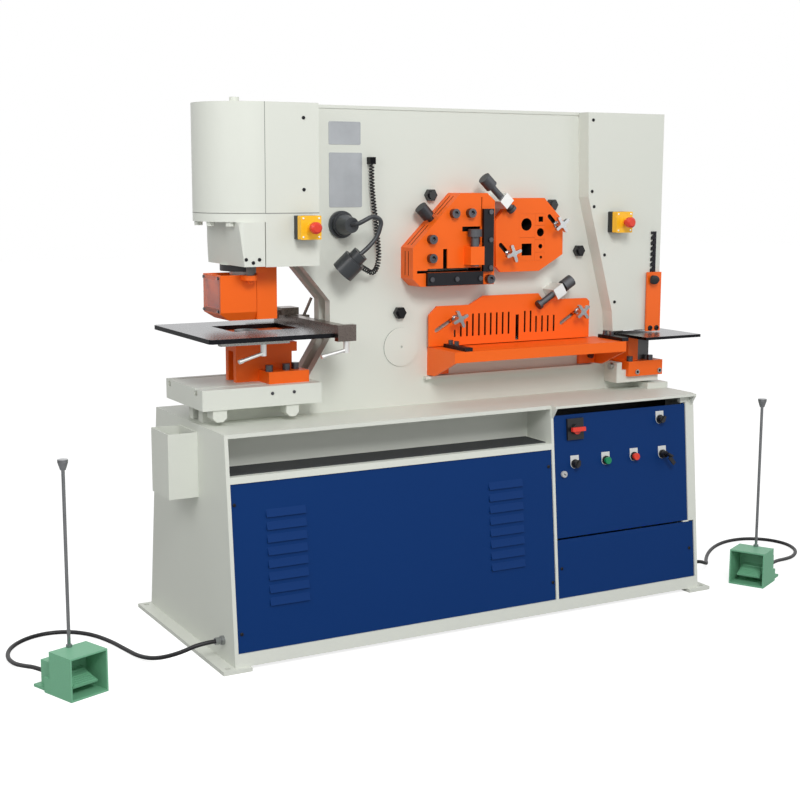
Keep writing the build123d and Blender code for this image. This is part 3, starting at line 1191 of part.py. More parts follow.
# Screws and nuts
with BuildPart() as cap_screws:
    for spot in ANGLE_SCREWS:
        socket_screw(spot, ANGLE_FRONT, SCREW_R, SCREW_H)
    for spot in GUIDE_SCREWS:
        forward(spot, SMALL_R, ANGLE_FRONT - GUIDE_T, ANGLE_FRONT - GUIDE_T - SMALL_H)
    for spot in TABLE_SCREWS:
        upright(spot, TABLE_SCREW_R, (TABLE_SCREW_Z, TABLE_SCREW_Z + TABLE_SCREW_H))
    for spot in HOLDER_SCREWS:
        upright(spot, HOLDER_SCREW_R, (HOLDER_FLANGE[5], HOLDER_FLANGE[5] + HOLDER_SCREW_H))
    for spot in NOTCH_TOP_SCREWS:
        upright(spot, NOTCH_TOP_R, (NOTCH_HOLDER[5], NOTCH_HOLDER[5] + NOTCH_TOP_H))
    for spot in NOTCH_FRONT_SCREWS:
        forward(spot, NOTCH_FRONT_R, NOTCH_HOLDER[2], NOTCH_HOLDER[2] - NOTCH_FRONT_H)
    rod(NOTCH_HEX_AT, (NOTCH_HEX_AT[0] - NOTCH_HEX_H, NOTCH_HEX_AT[1], NOTCH_HEX_AT[2]), NOTCH_HEX_R)
    forward(GUSSET_SCREW_AT, GUSSET_SCREW_R, GUSSET_FEET[1][2], GUSSET_FEET[1][2] - GUSSET_SCREW_H)
    for spot in BOLSTER_SCREWS:
        forward(spot, BOLSTER_SCREW_R, BOLSTER[2], BOLSTER[2] - BOLSTER_SCREW_H)
cap_screws.part.label = "cap_screws"
export_step(cap_screws.part, "parts/cap_screws.step")

with BuildPart() as pivot_nuts:
    for spot in NUT_SPOTS:
        hex_forward(spot, NUT_R, FRAME_FRONT, FRAME_FRONT - NUT_T)
        forward(spot, NUT_DOME_R, FRAME_FRONT - NUT_T, FRAME_FRONT - NUT_T - NUT_DOME_T)
pivot_nuts.part.label = "pivot_nuts"
export_step(pivot_nuts.part, "parts/pivot_nuts.step")

# Emergency stops
with BuildPart() as estop_boxes:
    for x0, x1, face, z0, z1 in ESTOPS:
        spot = ((x0 + x1) / 2, (z0 + z1) / 2)
        block((x0, x1, face - ESTOP_DEEP, face, z0, z1))
        forward(spot, ESTOP_COLLAR_R, face - ESTOP_DEEP, face - ESTOP_DEEP - ESTOP_COLLAR_T)
        forward(spot, ESTOP_STEM_R + RUN_FIT, face - ESTOP_DEEP + ESTOP_BORE,
                face - ESTOP_DEEP - ESTOP_COLLAR_T - OVERRUN, Mode.SUBTRACT)
    box_edges = estop_boxes.edges().filter_by(Axis.Y).filter_by(GeomType.LINE)
    fillet(box_edges, ESTOP_EDGE)
estop_boxes.part.label = "estop_boxes"
export_step(estop_boxes.part, "parts/estop_boxes.step")


def mushroom(x0, x1, face, z0, z1):
    spot = ((x0 + x1) / 2, (z0 + z1) / 2)
    lid = face - ESTOP_DEEP
    forward(spot, ESTOP_STEM_R, lid + ESTOP_STEM_IN, lid - ESTOP_NECK)
    forward(spot, ESTOP_HEAD_R, lid - ESTOP_NECK, lid - ESTOP_NECK - ESTOP_HEAD_T)


with BuildPart() as estop_button_left:
    mushroom(*ESTOPS[0])
    chamfer(estop_button_left.edges().filter_by(GeomType.CIRCLE).group_by(Axis.Y)[0], ESTOP_HEAD_EDGE)
estop_button_left.part.label = "estop_button_left"
export_step(estop_button_left.part, "parts/estop_button_left.step")

with BuildPart() as estop_button_right:
    mushroom(*ESTOPS[1])
    chamfer(estop_button_right.edges().filter_by(GeomType.CIRCLE).group_by(Axis.Y)[0], ESTOP_HEAD_EDGE)
estop_button_right.part.label = "estop_button_right"
export_step(estop_button_right.part, "parts/estop_button_right.step")

# Control door and everything on it
FITTINGS = (SELECTOR_LEFT, SELECTOR_TOP, KEY_SWITCH, START_BUTTON, STOP_BUTTON)
face_out = SKIN[1]
bezel_out = face_out + BEZEL_H
with BuildPart() as control_door:
    skin(DOOR_X, DOOR_Z, SKIN)
    for spot in FITTINGS + (MAIN_SWITCH,):
        stub(spot, FITTING_R + GAP, (SKIN[0] - OVERRUN, SKIN[1] + OVERRUN), Mode.SUBTRACT)
    for pin_z in DOOR_PIN_Z:
        hinge_rod(pin_z, DOOR_PIN_R)
control_door.part.label = "control_door"
export_step(control_door.part, "parts/control_door.step")

with BuildPart() as door_fittings:
    bar_on_slope(MAIN_SWITCH, MAIN_PLATE, face_out)
    plate_bore = (face_out - OVERRUN, face_out + MAIN_PLATE[2] + OVERRUN)
    stub(MAIN_SWITCH, FITTING_R + RUN_FIT, plate_bore, Mode.SUBTRACT)
    for spot in FITTINGS:
        stub(spot, BEZEL_R, (face_out, bezel_out))
        stub(spot, FITTING_R + RUN_FIT, (face_out - OVERRUN, bezel_out + OVERRUN), Mode.SUBTRACT)
    stub(DOOR_LOCK, LOCK_R, (face_out, face_out + LOCK_H))
door_fittings.part.label = "door_fittings"
export_step(door_fittings.part, "parts/door_fittings.step")

plate_out = face_out + MAIN_PLATE[2]
with BuildPart() as main_switch_handle:
    stub(MAIN_SWITCH, FITTING_R, (face_out - STEM_IN, plate_out + GAP))
    stub(MAIN_SWITCH, MAIN_HUB[0], (plate_out + GAP, plate_out + MAIN_HUB[1]))
    bar_on_slope(MAIN_SWITCH, MAIN_BAR, plate_out + MAIN_HUB[1])
main_switch_handle.part.label = "main_switch_handle"
export_step(main_switch_handle.part, "parts/main_switch_handle.step")


def selector(spot, turn):
    stub(spot, FITTING_R, (face_out - STEM_IN, bezel_out + GAP))
    stub(spot, SELECTOR_R, (bezel_out + GAP, bezel_out + SELECTOR_H))
    bar_on_slope(spot, POINTER, bezel_out + SELECTOR_H - POINTER[2] / 2, turn)


with BuildPart() as selector_left:
    selector(SELECTOR_LEFT, SELECTOR_TURNS[0])
selector_left.part.label = "selector_left"
export_step(selector_left.part, "parts/selector_left.step")

with BuildPart() as selector_top:
    selector(SELECTOR_TOP, SELECTOR_TURNS[1])
selector_top.part.label = "selector_top"
export_step(selector_top.part, "parts/selector_top.step")

with BuildPart() as key_switch:
    stub(KEY_SWITCH, FITTING_R, (face_out - STEM_IN, bezel_out + GAP))
    stub(KEY_SWITCH, SELECTOR_R, (bezel_out + GAP, bezel_out + SELECTOR_H))
    bar_on_slope(KEY_SWITCH, KEY_BOW, bezel_out + SELECTOR_H - GAP, KEY_TURN)
    fob_spot = (KEY_SWITCH[0] + KEY_FOB_AT[0], KEY_SWITCH[1] + KEY_FOB_AT[1])
    bar_on_slope(fob_spot, KEY_FOB, bezel_out + KEY_FOB_AT[2], KEY_FOB_TURN)
    link_start = on_slope(KEY_SWITCH[0], KEY_SWITCH[1], bezel_out + KEY_FOB_AT[2] + KEY_FOB[2] / 2).position
    link_end = on_slope(fob_spot[0], fob_spot[1], bezel_out + KEY_FOB_AT[2] + KEY_FOB[2] / 2).position
    rod(tuple(link_start), tuple(link_end), KEY_FOB[2] / 2)
key_switch.part.label = "key_switch"
export_step(key_switch.part, "parts/key_switch.step")


def push_button(spot):
    stub(spot, FITTING_R, (face_out - STEM_IN, bezel_out + PRESS_ROOM))
    stub(spot, BUTTON_R, (bezel_out + PRESS_ROOM, bezel_out + PRESS_ROOM + BUTTON_H))


with BuildPart() as start_button:
    push_button(START_BUTTON)
start_button.part.label = "start_button"
export_step(start_button.part, "parts/start_button.step")

with BuildPart() as stop_button:
    push_button(STOP_BUTTON)
stop_button.part.label = "stop_button"
export_step(stop_button.part, "parts/stop_button.step")

# Work lamp with its flexible neck
lamp_y = FRAME_FRONT
with BuildPart() as work_lamp:
    forward(LAMP_AT, LAMP_FLANGE[0], lamp_y, lamp_y - LAMP_FLANGE[1])
    step_y = lamp_y - LAMP_FLANGE[1]
    forward(LAMP_AT, LAMP_STEP[0], step_y, step_y - LAMP_STEP[1])
    cone_y = step_y - LAMP_STEP[1]
    with Locations(Plane(origin=(LAMP_AT[0], cone_y, LAMP_AT[1]), z_dir=(0, -1, 0))):
        Cone(LAMP_CONE[0], LAMP_CONE[1], LAMP_CONE[2], align=(Align.CENTER, Align.CENTER, Align.MIN))
    with BuildLine() as neck_line:
        FilletPolyline(*NECK_POINTS, radius=route_radii(NECK_POINTS, NECK_SHARE))
    with BuildSketch(Plane(origin=neck_line.line @ 0, z_dir=neck_line.line % 0)) as neck_face:
        Circle(NECK_R)
    sweep()
    back_end = along(LAMP_HEAD_AT, LAMP_HEAD_DIR, LAMP_BACK[1])
    shade_end = along(back_end, LAMP_HEAD_DIR, LAMP_SHADE[1])
    rod(LAMP_HEAD_AT, back_end, LAMP_BACK[0])
    rod(back_end, shade_end, LAMP_SHADE[0])
    rod(LAMP_TAIL_AT, along(LAMP_TAIL_AT, LAMP_TAIL_DIR, LAMP_TAIL_L), LAMP_TAIL_R)
    rod(along(shade_end, LAMP_HEAD_DIR, -LAMP_MOUTH[1]),
        along(shade_end, LAMP_HEAD_DIR, OVERRUN), LAMP_MOUTH[0],
        Mode.SUBTRACT)
work_lamp.part.label = "work_lamp"
export_step(work_lamp.part, "parts/work_lamp.step")

coil_end = along(LAMP_TAIL_AT, LAMP_TAIL_DIR, LAMP_TAIL_L)
coil_points = COIL_POINTS + [along(coil_end, LAMP_TAIL_DIR, COIL_RUN_IN), coil_end]
coil_radii = route_radii(coil_points, ROUTE_SHARE)
with BuildPart() as lamp_cord:
    with BuildLine() as coil_line:
        FilletPolyline(*coil_points, radius=coil_radii)
    with BuildSketch(Plane(origin=coil_line.line @ 0, z_dir=coil_line.line % 0)) as coil_face:
        Circle(COIL_R)
    sweep()
lamp_cord.part.label = "lamp_cord"
export_step(lamp_cord.part, "parts/lamp_cord.step")
print("lamp cord", [round(r) for r in coil_radii], round(route_length(coil_line)),
      round(lamp_cord.part.volume / (math.pi * COIL_R ** 2 * route_length(coil_line)), 3))

# Foot switches
with BuildPart() as pedal_housings:
    for index in range(2):
        with Locations(pedal_place(index)):
            block(HOOD_OUT)
            block(HOOD_SKIRT)
            block(PEDAL_BODY)
            block(PEDAL_FOOT)
            block(HOOD_IN, Mode.SUBTRACT)
            block(PEDAL_STOP)
pedal_housings.part.label = "pedal_housings"
export_step(pedal_housings.part, "parts/pedal_housings.step")

with BuildPart() as pedal_rods:
    for index in range(2):
        with Locations(pedal_place(index)):
            foot, top = PEDAL_ROD_Z
            upright(PEDAL_ROD_AT, PEDAL_COLLAR[0], (foot, foot + PEDAL_COLLAR[1]))
            upright(PEDAL_ROD_AT, PEDAL_ROD_R, (foot + PEDAL_COLLAR[1], top))
            neck_top = top + PEDAL_KNOB_NECK[1]
            with Locations((PEDAL_ROD_AT[0], PEDAL_ROD_AT[1], top)):
                Cone(PEDAL_KNOB_NECK[0], PEDAL_KNOB_CAP[0], PEDAL_KNOB_NECK[1],
                     align=(Align.CENTER, Align.CENTER, Align.MIN))
            upright(PEDAL_ROD_AT, PEDAL_KNOB_CAP[0], (neck_top, neck_top + PEDAL_KNOB_CAP[1]))
pedal_rods.part.label = "pedal_rods"
export_step(pedal_rods.part, "parts/pedal_rods.step")


def treadle_at(index):
    with Locations(pedal_place(index)):
        with Locations(Location(TREADLE_AT, (TREADLE_TILT, 0, 0))):
            Box(*TREADLE)
        pin_x = (TREADLE_AT[0] - TREADLE[0] / 2, TREADLE_AT[0] + TREADLE[0] / 2)
        rod((pin_x[0], TREADLE_PIN[0], TREADLE_PIN[1]),
            (pin_x[1], TREADLE_PIN[0], TREADLE_PIN[1]), TREADLE_PIN_R)


with BuildPart() as treadle_left:
    treadle_at(0)
treadle_left.part.label = "treadle_left"
export_step(treadle_left.part, "parts/treadle_left.step")

with BuildPart() as treadle_right:
    treadle_at(1)
treadle_right.part.label = "treadle_right"
export_step(treadle_right.part, "parts/treadle_right.step")


def cable_points(index, points, entry):
    run_in = (entry[0], entry[1] + CABLE_RUN_IN, entry[2])
    return points + [pedal_point(index, run_in), pedal_point(index, entry)]


left_points = cable_points(0, CABLE_LEFT, CABLE_ENTRY)
left_radii = route_radii(left_points, ROUTE_SHARE)
with BuildPart() as pedal_cable_left:
    with BuildLine() as left_line:
        FilletPolyline(*left_points, radius=left_radii)
    with BuildSketch(Plane(origin=left_line.line @ 0, z_dir=left_line.line % 0)) as left_face:
        Circle(CABLE_R)
    sweep()
pedal_cable_left.part.label = "pedal_cable_left"
export_step(pedal_cable_left.part, "parts/pedal_cable_left.step")
print("left cable", [round(r) for r in left_radii], round(route_length(left_line)),
      round(pedal_cable_left.part.volume / (math.pi * CABLE_R ** 2 * route_length(left_line)), 3))

right_points = cable_points(1, CABLE_RIGHT, CABLE_ENTRY_RIGHT)
right_radii = route_radii(right_points, ROUTE_SHARE)
with BuildPart() as pedal_cable_right:
    with BuildLine() as right_line:
        FilletPolyline(*right_points, radius=right_radii)
    with BuildSketch(Plane(origin=right_line.line @ 0, z_dir=right_line.line % 0)) as right_face:
        Circle(CABLE_R)
    sweep()
pedal_cable_right.part.label = "pedal_cable_right"
export_step(pedal_cable_right.part, "parts/pedal_cable_right.step")
print("right cable", [round(r) for r in right_radii], round(route_length(right_line)),
      round(pedal_cable_right.part.volume / (math.pi * CABLE_R ** 2 * route_length(right_line)), 3))

with BuildPart() as cable_glands:
    for side in (-1, 1):
        root = (side * HALF_LENGTH, GLAND_Y, GLAND_Z)
        nut_end = (side * (HALF_LENGTH + GLAND_NUT_L), GLAND_Y, GLAND_Z)
        rod(root, nut_end, GLAND_NUT_R)
        rod(nut_end, (side * (HALF_LENGTH + GLAND_L), GLAND_Y, GLAND_Z), GLAND_R)
    block(LAMP_GLAND)
cable_glands.part.label = "cable_glands"
export_step(cable_glands.part, "parts/cable_glands.step")
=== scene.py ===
# %% [markdown]
# This lesson dresses a hydraulic ironworker: a punch on the left, shears in the middle, a notcher on the
# right, all standing on a slant-sided cabinet. The solids come ready made from the CAD model, in metres, and
# never move. We give each one its real finish and add what is too fine for CAD: cords, plates and screws.

# %% Load the machine
import bmesh
import bpy
import math
from mathutils import Euler, Matrix, Vector


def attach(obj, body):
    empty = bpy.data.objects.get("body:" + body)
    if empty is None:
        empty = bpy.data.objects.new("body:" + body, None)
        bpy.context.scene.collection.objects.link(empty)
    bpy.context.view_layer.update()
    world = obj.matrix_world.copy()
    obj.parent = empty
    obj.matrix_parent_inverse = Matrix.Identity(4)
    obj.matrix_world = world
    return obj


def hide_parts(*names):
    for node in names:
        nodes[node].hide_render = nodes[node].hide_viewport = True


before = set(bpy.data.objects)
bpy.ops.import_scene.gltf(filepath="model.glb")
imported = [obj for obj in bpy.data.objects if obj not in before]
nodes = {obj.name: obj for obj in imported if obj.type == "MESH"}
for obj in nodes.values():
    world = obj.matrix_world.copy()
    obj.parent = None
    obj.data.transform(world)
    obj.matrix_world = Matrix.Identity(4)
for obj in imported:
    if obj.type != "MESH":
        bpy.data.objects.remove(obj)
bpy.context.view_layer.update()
bpy.context.scene.view_settings.view_transform = "Standard"

# %% [markdown]
# The camera stands to the left of the machine, a little above the middle, and looks down by nine degrees.
# Its place was worked out from the edges that run along the machine, across it and upwards.

# %% Camera
CAMERA_AT = (-2.4017, -4.0871, 1.45)
LOOK_DOWN = 9.01
LOOK_RIGHT = 29.13
ROLL = 0.19
LENS_MM = 63.3

camera_data = bpy.data.cameras.new("photo_camera")
camera_data.sensor_width = 36.0
camera_data.lens = LENS_MM
camera_data.clip_end = 60.0
camera = bpy.data.objects.new("photo_camera", camera_data)
bpy.context.scene.collection.objects.link(camera)
turn = Euler((math.radians(90 - LOOK_DOWN), 0, math.radians(-LOOK_RIGHT)), "XYZ").to_matrix()
roll = Matrix.Rotation(math.radians(ROLL), 3, "Z")
camera.matrix_world = Matrix.Translation(CAMERA_AT) @ (turn @ roll).to_4x4()
bpy.context.scene.camera = camera
print("camera at", [round(v, 3) for v in camera.location])

# %% [markdown]
# A material is a small tree of nodes. One helper starts an empty tree and gives the point being shaded, one adds
# a node, sets its values and joins it to others, and one turns a screen colour into the linear numbers that the
# shader wants.

# %% Start a material and add nodes


def linear(code):
    channels = [int(code[i:i + 2], 16) / 255 for i in (1, 3, 5)]
    return tuple(c / 12.92 if c <= 0.04045 else ((c + 0.055) / 1.055) ** 2.4 for c in channels) + (1.0,)


def add(tree, kind, links=None, inputs=None, **settings):
    made = tree.nodes.new(kind)
    for key, value in settings.items():
        setattr(made, key, value)
    for key, value in (inputs or {}).items():
        made.inputs[key].default_value = value
    for key, source in (links or {}).items():
        tree.links.new(source, made.inputs[key])
    return made


def start(name):
    material = bpy.data.materials.new(name)
    material.use_nodes = True
    tree = material.node_tree
    tree.nodes.clear()
    place = add(tree, "ShaderNodeTexCoord").outputs["Object"]
    return material, tree, place


# %% [markdown]
# A few steps come back in almost every material: a cloudy pattern with a grain of so many millimetres, two
# colours mixed by a pattern, a pattern stretched to a range, a bump, and the shader joined to the output.

# %% Steps that come back


def noise(tree, vector, grain_mm, detail):
    texture = add(tree, "ShaderNodeTexNoise", {"Vector": vector},
                  {"Scale": 1000.0 / grain_mm, "Detail": detail})
    return texture.outputs["Fac"]


def blend(tree, factor, low, high):
    mixed = add(tree, "ShaderNodeMix", {"Factor": factor}, {"A": low, "B": high}, data_type="RGBA")
    return mixed.outputs["Result"]


def stretched(tree, value, low, high):
    return add(tree, "ShaderNodeMapRange", {"Value": value}, {"To Min": low, "To Max": high}).outputs["Result"]


def relief(tree, height, strength, distance):
    bump = add(tree, "ShaderNodeBump", {"Height": height}, {"Strength": strength, "Distance": distance})
    return bump.outputs["Normal"]


def principled(tree, links, inputs):
    shader = add(tree, "ShaderNodeBsdfPrincipled", links, inputs)
    add(tree, "ShaderNodeOutputMaterial", {"Surface": shader.outputs["BSDF"]})


def darker(colour, share):
    return tuple(c * share for c in colour[:3]) + (1.0,)


# %% [markdown]
# Some solids show two colours: painted shade darkens the walls of a shear hole, a lid sits on a black base. The
# shader can ask whether a point lies inside a box, given by its lowest and highest values along each axis in
# millimetres. That leaves the CAD mesh as it is, which cutting the mesh into separate pieces would not.

# %% Boxes as masks
MM = 0.001


def larger(tree, one, other):
    return add(tree, "ShaderNodeMath", {0: one, 1: other}, operation="MAXIMUM").outputs[0]


def inside(tree, place, boxes):
    """Gives 1 in any of the boxes, each (x0, x1, y0, y1, z0, z1), and 0 elsewhere."""
    found = None
    for box in boxes:
        ends = list(zip(box[0::2], box[1::2]))
        middle = [(low + high) / 2 * MM for low, high in ends]
        half = [(high - low) / 2 * MM for low, high in ends]
        away = add(tree, "ShaderNodeVectorMath", {0: place}, {1: middle}, operation="SUBTRACT")
        span = add(tree, "ShaderNodeVectorMath", {0: away.outputs[0]}, operation="ABSOLUTE")
        over = add(tree, "ShaderNodeVectorMath", {0: span.outputs[0]}, {1: half}, operation="SUBTRACT")
        axes = add(tree, "ShaderNodeSeparateXYZ", {"Vector": over.outputs[0]})
        most = larger(tree, larger(tree, axes.outputs["X"], axes.outputs["Y"]), axes.outputs["Z"])
        test = add(tree, "ShaderNodeMath", {0: most}, {1: 0.0}, operation="LESS_THAN").outputs[0]
        found = test if found is None else larger(tree, found, test)
    return found


def masked(tree, place, source, patches):
    """Paints each patch, a (colour code, boxes) pair, over the colour that comes in."""
    for code, boxes in patches:
        cover = add(tree, "ShaderNodeMix", {"Factor": inside(tree, place, boxes), "A": source},
                    {"B": linear(code)}, data_type="RGBA")
        source = cover.outputs["Result"]
    return source


# %% [markdown]
# Most of the machine is sprayed with enamel. Sprayed paint dries with a faint orange-peel skin, and its colour
# drifts a little from one coat to the next. The peel is really about two millimetres across, too fine to see
# from here, so it is drawn at six to nine. The drift is drawn at a quarter of a metre.

# %% Sprayed enamel
DRIFT_MM = 250


def enamel(name, code, roughness, drift=0.05, peel_mm=9.0, peel=0.05, patches=(), shine=0.5):
    material, tree, place = start(name)
    coat = noise(tree, place, DRIFT_MM, 3.0)
    colour = linear(code)
    tint = blend(tree, coat, darker(colour, 1 - drift), colour)
    skin = relief(tree, noise(tree, place, peel_mm, 2.0), peel, 0.002)
    gloss = stretched(tree, coat, roughness - 0.05, roughness + 0.07)
    principled(tree, {"Base Color": masked(tree, place, tint, patches), "Normal": skin, "Roughness": gloss},
               {"IOR": 1.5, "Specular IOR Level": shine})
    return material


CREAM = "#DCDFD6"
ORANGE = "#FA690F"
blue = enamel("blue_enamel", "#07336E", 0.5, peel_mm=6.0, peel=0.05, shine=0.12)
green = enamel("green_hammer_enamel", "#7BBB96", 0.42, drift=0.12, peel_mm=7.0, peel=0.3, shine=0.35)
print("enamels:", blue.name, green.name)

# %% [markdown]
# The cream paint shows thin dark lines: painted shade on the rim of the pivot's cover disc, and the seams of the
# punch head.

# %% Cream enamel with its seams
# Painted shade on the side wall of the pivot's cover disc.
disc_rim_shade = [(-232, -98, -80.8, -78.2, 832, 966)]
head_seams = [(-688.2, -685.8, -182, -176, 1340, 1672), (-850, -505, -182, 142, 1339.2, 1342.2)]
cream = enamel("cream_enamel", CREAM, 0.42, drift=0.03, shine=0.3, patches=[("#7E807B", disc_rim_shade)])
head_cream = enamel("cream_enamel_with_seams", CREAM, 0.42, drift=0.03, shine=0.3,
                    patches=[("#8F918C", head_seams)])
print("cream:", cream.name, head_cream.name)

# %% [markdown]
# The walls of the shear holes, slots and grooves carry painted shade, a near-black colour over the orange. Each
# shear has its own list of boxes. The nut on the stripper's pin is bare steel.

# %% Orange enamel with dark openings
# Near-black painted shade for the walls of the holes, slots and grooves.
HOLE_SHADE = "#1B1614"
bar_holes = [
    (261, 305, -137.7, -70, 1272, 1316), (325, 355, -137.7, -70, 1252, 1282), (332, 350, -137.7, -70, 1211, 1229),
    (338, 350, -137.7, -70, 1177, 1189), (264.5, 305.5, -137.7, -70, 1189.5, 1230.5),
    (331.5, 350.5, -137.7, -70, 1301.5, 1320.5), (173, 216, -137.5, -120, 1192, 1235),
    (368, 408, -137.5, -120, 1285, 1327),
]
block_slots = [(17.5, 94.5, -153, -70, 1231.5, 1386.5), (-151.5, 93.5, -153, -70, 1142.5, 1220.5)]
GROOVE_HALF = 2.1
for groove in (-128, -106):
    for x0, x1, z0, z1 in ((-165.7, -160, 1136, 1214), (-157, -92, 1234, 1298), (-60, 2, 1330, 1390)):
        block_slots.append((x0, x1, groove - GROOVE_HALF, groove + GROOVE_HALF, z0, z1))
guard_slits = [(20, 435, -100.8, -94.5, 901, 1001)]
pin_nut = [(-727, -697, -131, -101, 1152.8, 1183)]


def orange_enamel(name, code, boxes):
    return enamel(name, ORANGE, 0.42, shine=0.35, patches=[(code, boxes)])


orange = orange_enamel("orange_enamel", "#6E6E6C", pin_nut)
orange_bar = orange_enamel("orange_enamel_bar_shear", HOLE_SHADE, bar_holes)
orange_guard = orange_enamel("orange_enamel_flat_shear", HOLE_SHADE, guard_slits)
orange_block = orange_enamel("orange_enamel_angle_shear", HOLE_SHADE, block_slots)
print("orange:", orange.name, orange_bar.name, orange_guard.name, orange_block.name)

# %% [markdown]
# Bare metal comes in several finishes. The tables and guides are blackened, the hold-down screws phosphated, the
# ram and punch ground, and the knobs, levers and rods plated. Metal takes its colour from what it reflects, so
# the base colour is its reflectance and the finish is all in the roughness and the lie of its scratches.

# %% How a steel is made
WEAR_MM = 60


def steel(name, code, roughness, grain_mm, stretch=(1.0, 1.0, 1.0), depth=0.08, patches=()):
    material, tree, place = start(name)
    lay = add(tree, "ShaderNodeMapping", {"Vector": place}, {"Scale": stretch}).outputs["Vector"]
    grain = noise(tree, lay, grain_mm, 4.0)
    colour = linear(code)
    worn = tuple(min(1.0, c * 1.35 + 0.01) for c in colour[:3]) + (1.0,)
    tint = blend(tree, noise(tree, place, WEAR_MM, 3.0), colour, worn)
    gloss = stretched(tree, grain, roughness - 0.08, roughness + 0.12)
    principled(tree, {"Base Color": masked(tree, place, tint, patches),
                      "Normal": relief(tree, grain, depth, 0.001), "Roughness": gloss}, {"Metallic": 1.0})
    return material


# %% [markdown]
# Some dark steels carry a second tone in a few places: the small bevel knob, a few bright screw heads near the
# notcher, and the pale rail under the punch table. Painted shade darkens the sockets of those heads and the edges
# of the two tables.

# %% Dark steels
bevel_knob = [(-160, -66, -145, -90, 1305, 1395)]
bright_heads = [(735, 865, -190, -165.2, 750, 785), (655, 671, -145, -100, 770, 810)]
# Painted shade in the sockets of the two bright screw heads.
socket_shade = [(744.5, 753.5, -200, -160, 763.5, 772.5), (844.5, 853.5, -200, -160, 763.5, 772.5)]
# Painted shade on the side faces of the two tables.
table_edge_shade = [(-906, -483, -265, 225, 964, 978.6), (691, 936, -282, 242, 894, 904.6)]
table_rail = [(-853, -625, -216, -189, 949, 964.9)]
black_steel = steel("blackened_steel", "#2A2A2D", 0.45, 6.0, patches=[("#4C4D50", bevel_knob)])
screw_steel = steel("blackened_screw_steel", "#56565A", 0.28, 6.0, depth=0.03,
                    patches=[("#C4C4C2", bright_heads), ("#121214", socket_shade)])
table_steel = steel("blackened_table_steel", "#7A7B7E", 0.24, 6.0, depth=0.02,
                    patches=[("#2E2F33", table_edge_shade), ("#B9B9B4", table_rail)])
charcoal_steel = steel("phosphated_knob_steel", "#56575A", 0.5, 6.0)
gun_metal = steel("gun_metal_fence", "#7A706A", 0.27, 6.0)
tool_steel = steel("tool_steel", "#5A5A5A", 0.35, 4.0)
print("dark steels:", black_steel.name, screw_steel.name, table_steel.name, gun_metal.name)

# %% [markdown]
# The bright metals differ most in roughness. Ground steel and brushed aluminium have scratches that run one way,
# so their grain is stretched. One gland, at the top of the lamp cord, is black.

# %% Bright metals
lamp_gland = [(-300, -260, -110, -70, 1480, 1520)]
ground_steel = steel("ground_steel", "#9A9A98", 0.34, 3.0, (1.0, 8.0, 1.0))
satin_plate = steel("satin_plate", "#B6B8B9", 0.2, 8.0, depth=0.02)
zinc_block = steel("zinc_plated_block", "#DADAD8", 0.42, 8.0, depth=0.03)
plated = steel("bright_plate", "#8F9193", 0.16, 30.0, depth=0.0, patches=[("#1B1B1D", lamp_gland)])
aluminium = steel("brushed_aluminium_plate", "#9DA0A3", 0.5, 3.0, (12.0, 1.0, 1.0))
print("bright metals:", ground_steel.name, satin_plate.name, zinc_block.name, plated.name, aluminium.name)

# %% [markdown]
# Switch plates, buttons and cable jackets are moulded. Moulded plastic has an even colour with a fine grain from
# the mould, which breaks up its highlight. The lamp's enamel and the lacquer on the nuts are as even, so the same
# function makes them.

# %% Moulded plastics and rubber


def moulded(name, code, roughness, grain_mm=5.0, depth=0.06):
    material, tree, place = start(name)
    grain = noise(tree, place, grain_mm, 3.0)
    colour = linear(code)
    tint = blend(tree, grain, darker(colour, 0.86), colour)
    principled(tree, {"Base Color": tint, "Normal": relief(tree, grain, depth, 0.001)},
               {"Roughness": roughness, "IOR": 1.46})
    return material


black_plastic = moulded("black_abs", "#1C1C1E", 0.38)
nut_black = moulded("black_lacquered_nut", "#1A1A1C", 0.16, depth=0.02)
lamp_black = moulded("black_lamp_enamel", "#3B3E41", 0.34)
red_plastic = moulded("red_abs", "#E8412C", 0.3)
green_plastic = moulded("green_abs", "#12895A", 0.3)
cable_jacket = moulded("cable_jacket_rubber", "#17171A", 0.45, grain_mm=12.0)
label_white = moulded("white_legend_card", "#DCDEDC", 0.5)
mat_rubber = moulded("shelf_mat_rubber", "#343638", 0.7, grain_mm=4.0, depth=0.3)
print("plastics:", black_plastic.name, red_plastic.name, green_plastic.name, cable_jacket.name)

# %% [markdown]
# The stripper's window is a sheet of clear plastic. A thin pane hardly bends the light, so it is drawn as a
# mostly see-through sheet, which stays clear with few samples.

# %% Clear window
SMEAR_MM = 40
clear_pane, tree, place = start("clear_polycarbonate")
gloss = stretched(tree, noise(tree, place, SMEAR_MM, 3.0), 0.08, 0.18)
principled(tree, {"Roughness": gloss}, {"Base Color": linear("#D5DADA"), "Alpha": 0.2, "IOR": 1.4})
print("window:", clear_pane.name)

# %% [markdown]
# Five more solids carry two finishes. The emergency stop boxes have a black base under a yellow lid, the notch
# guard has a black knob, and the cylinder has a dark gland where the ram comes out. On the door, the lock is
# bright among the black fittings, and the main switch has a red bar on a black hub.

# %% Two-colour mouldings


def two_tone(name, near, far, roughness, boxes):
    material, tree, place = start(name)
    skin = relief(tree, noise(tree, place, 7, 3.0), 0.06, 0.001)
    tint = blend(tree, inside(tree, place, boxes), linear(near), linear(far))
    principled(tree, {"Base Color": tint, "Normal": skin}, {"Roughness": roughness, "IOR": 1.48})
    return material


